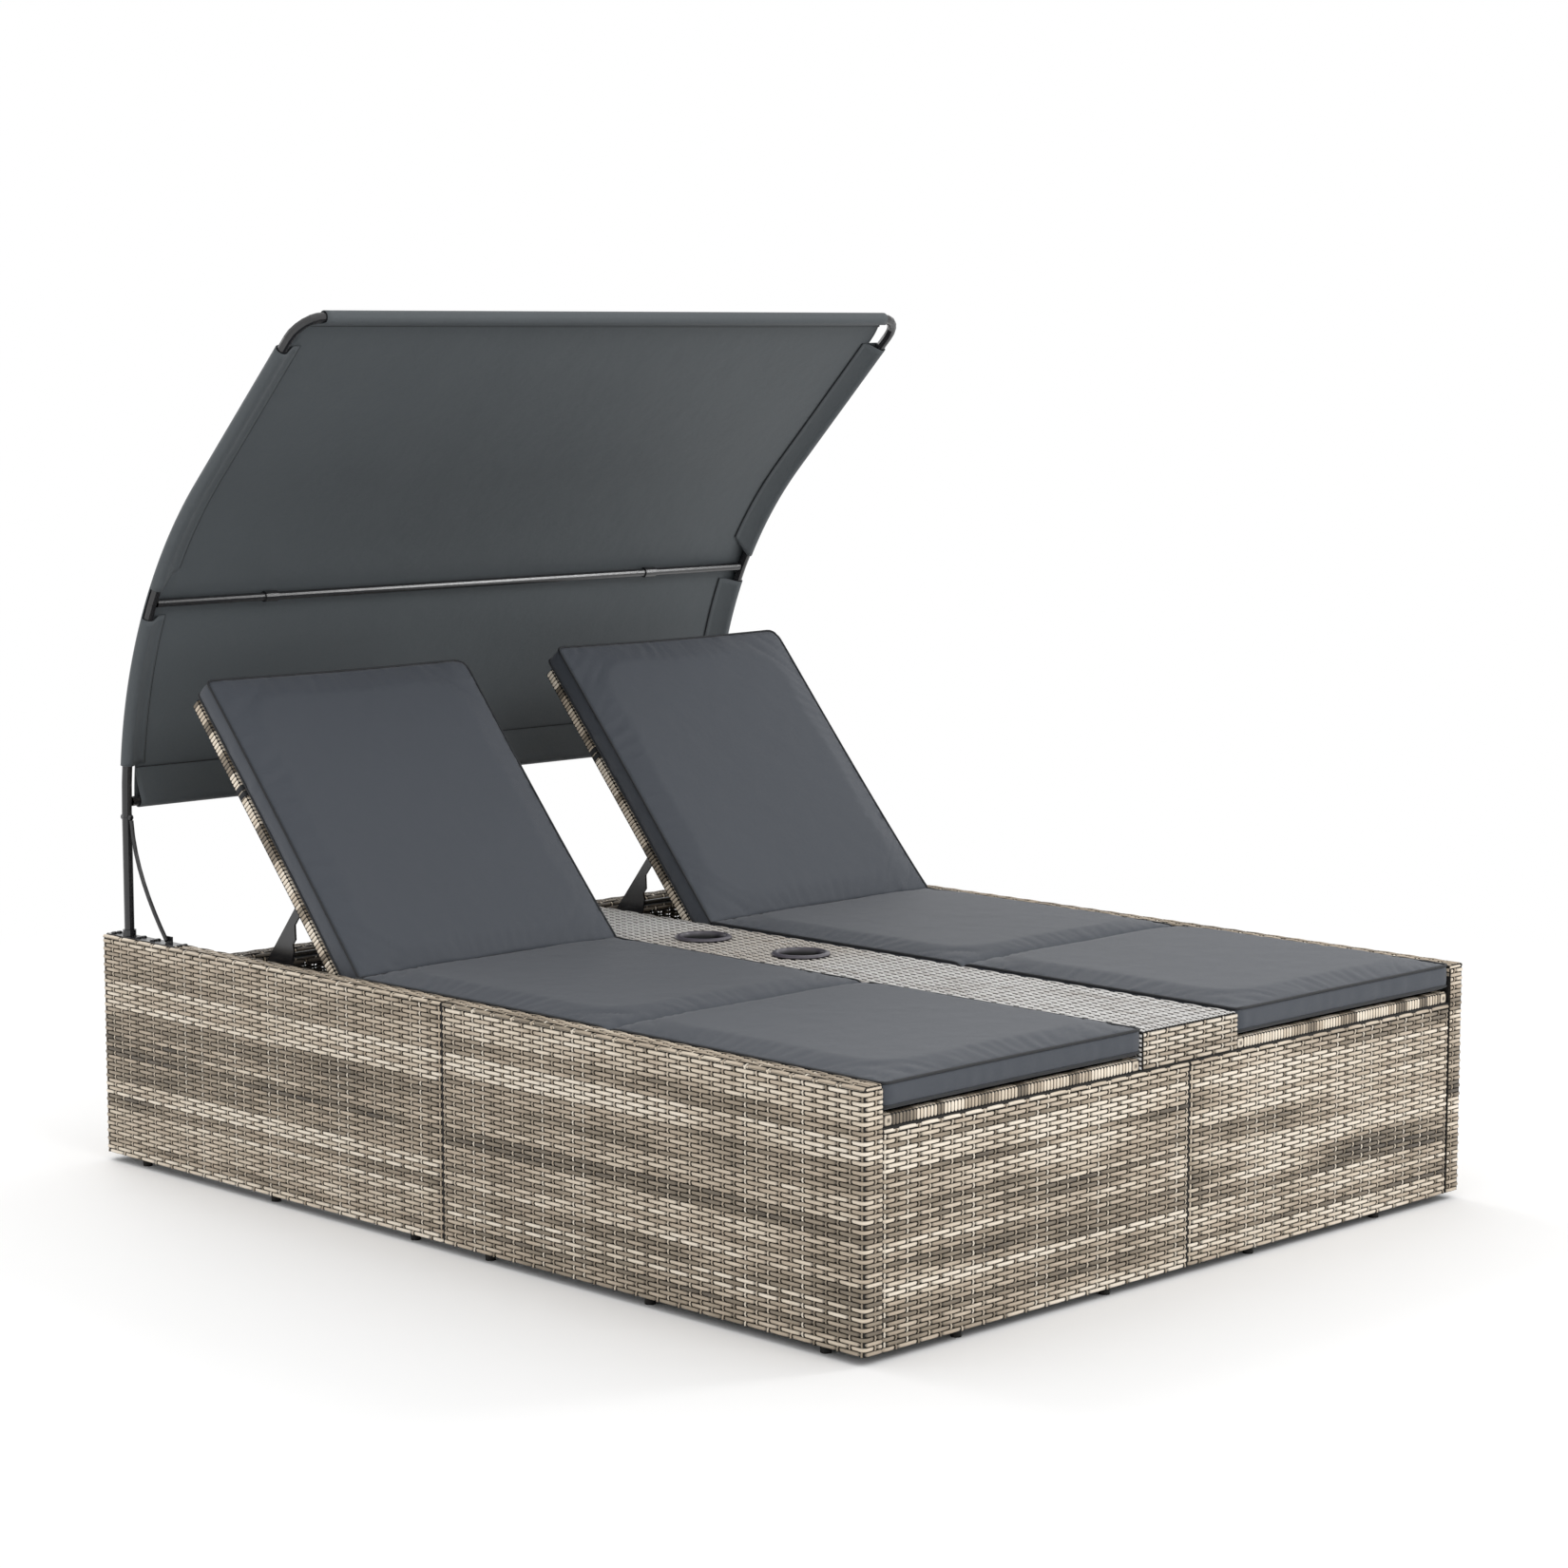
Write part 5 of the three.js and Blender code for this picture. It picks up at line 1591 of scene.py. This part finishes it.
def lamp(name, place, size, power):
    """A square lamp that points at the bed."""
    data = bpy.data.lights.new(name, "AREA")
    data.shape = "SQUARE"
    data.size = size
    data.energy = power
    item = bpy.data.objects.new(name, data)
    item.location = place
    aim = Vector(LAMP_AIM) - Vector(place)
    item.rotation_euler = aim.to_track_quat("-Z", "Y").to_euler()
    bpy.context.scene.collection.objects.link(item)


def floor():
    """A pale floor that turns into the white backdrop away from the bed."""
    shader = Shader("floor", roughness=0.9, Specular_IOR_Level=0.0, Base_Color=FLOOR_COLOUR)
    distance = shader.add("ShaderNodeVectorMath", operation="LENGTH")
    shader.link(shader.add("ShaderNodeNewGeometry").outputs["Position"], distance.inputs[0])
    fade = shader.add("ShaderNodeMapRange", interpolation_type="SMOOTHSTEP")
    fade.inputs["From Min"].default_value, fade.inputs["From Max"].default_value = FLOOR_FADE
    shader.link(distance.outputs["Value"], fade.inputs["Value"])
    seen = shader.add("ShaderNodeMath", operation="MULTIPLY")
    shader.link(fade.outputs["Result"], seen.inputs[0])
    shader.link(shader.add("ShaderNodeLightPath").outputs["Is Camera Ray"], seen.inputs[1])
    white = shader.add("ShaderNodeEmission", Strength=1.0)
    mix = shader.add("ShaderNodeMixShader")
    shader.link(seen.outputs[0], mix.inputs["Fac"])
    shader.link(shader.surface.outputs["BSDF"], mix.inputs[1])
    shader.link(white.outputs["Emission"], mix.inputs[2])
    shader.link(mix.outputs["Shader"], shader.nodes["Material Output"].inputs["Surface"])
    reach = FLOOR_RADIUS
    corners = np.array(((-reach, -reach, 0), (reach, -reach, 0), (reach, reach, 0), (-reach, reach, 0)))
    item = new_object(new_mesh("floor", corners, np.arange(4)), shader.material)


def finish_nodes():
    """Every solid that stays in view gets its material."""
    # The wicker solids under the strands take the painted shade underlay
    by_slot = {"wicker": PAINTED_SHADE_UNDERLAY, "steel": COAT, "cup_plastic": GLOSS,
               "cushion_fabric": CUSHION_CLOTH, "canopy_fabric": CANOPY_CLOTH}
    slots = {part["node"]: part["material_slot"] for part in frame["record"]["subparts"]}
    for name, item in frame["nodes"].items():
        material = by_slot[slots[name]]
        for slot in item.material_slots:
            slot.material = material


studio()
finish_nodes()
side_panel_weaves()
end_panel_weaves()
console_weaves()
for lounger_side in SIDES:
    lounger = Bay(lounger_side)
    seat_rails(lounger)
    back_rails(lounger)
    straps(lounger)
    lounger_cushions(lounger)
canopy_sheet()
canopy_fixings()
cup_holders()
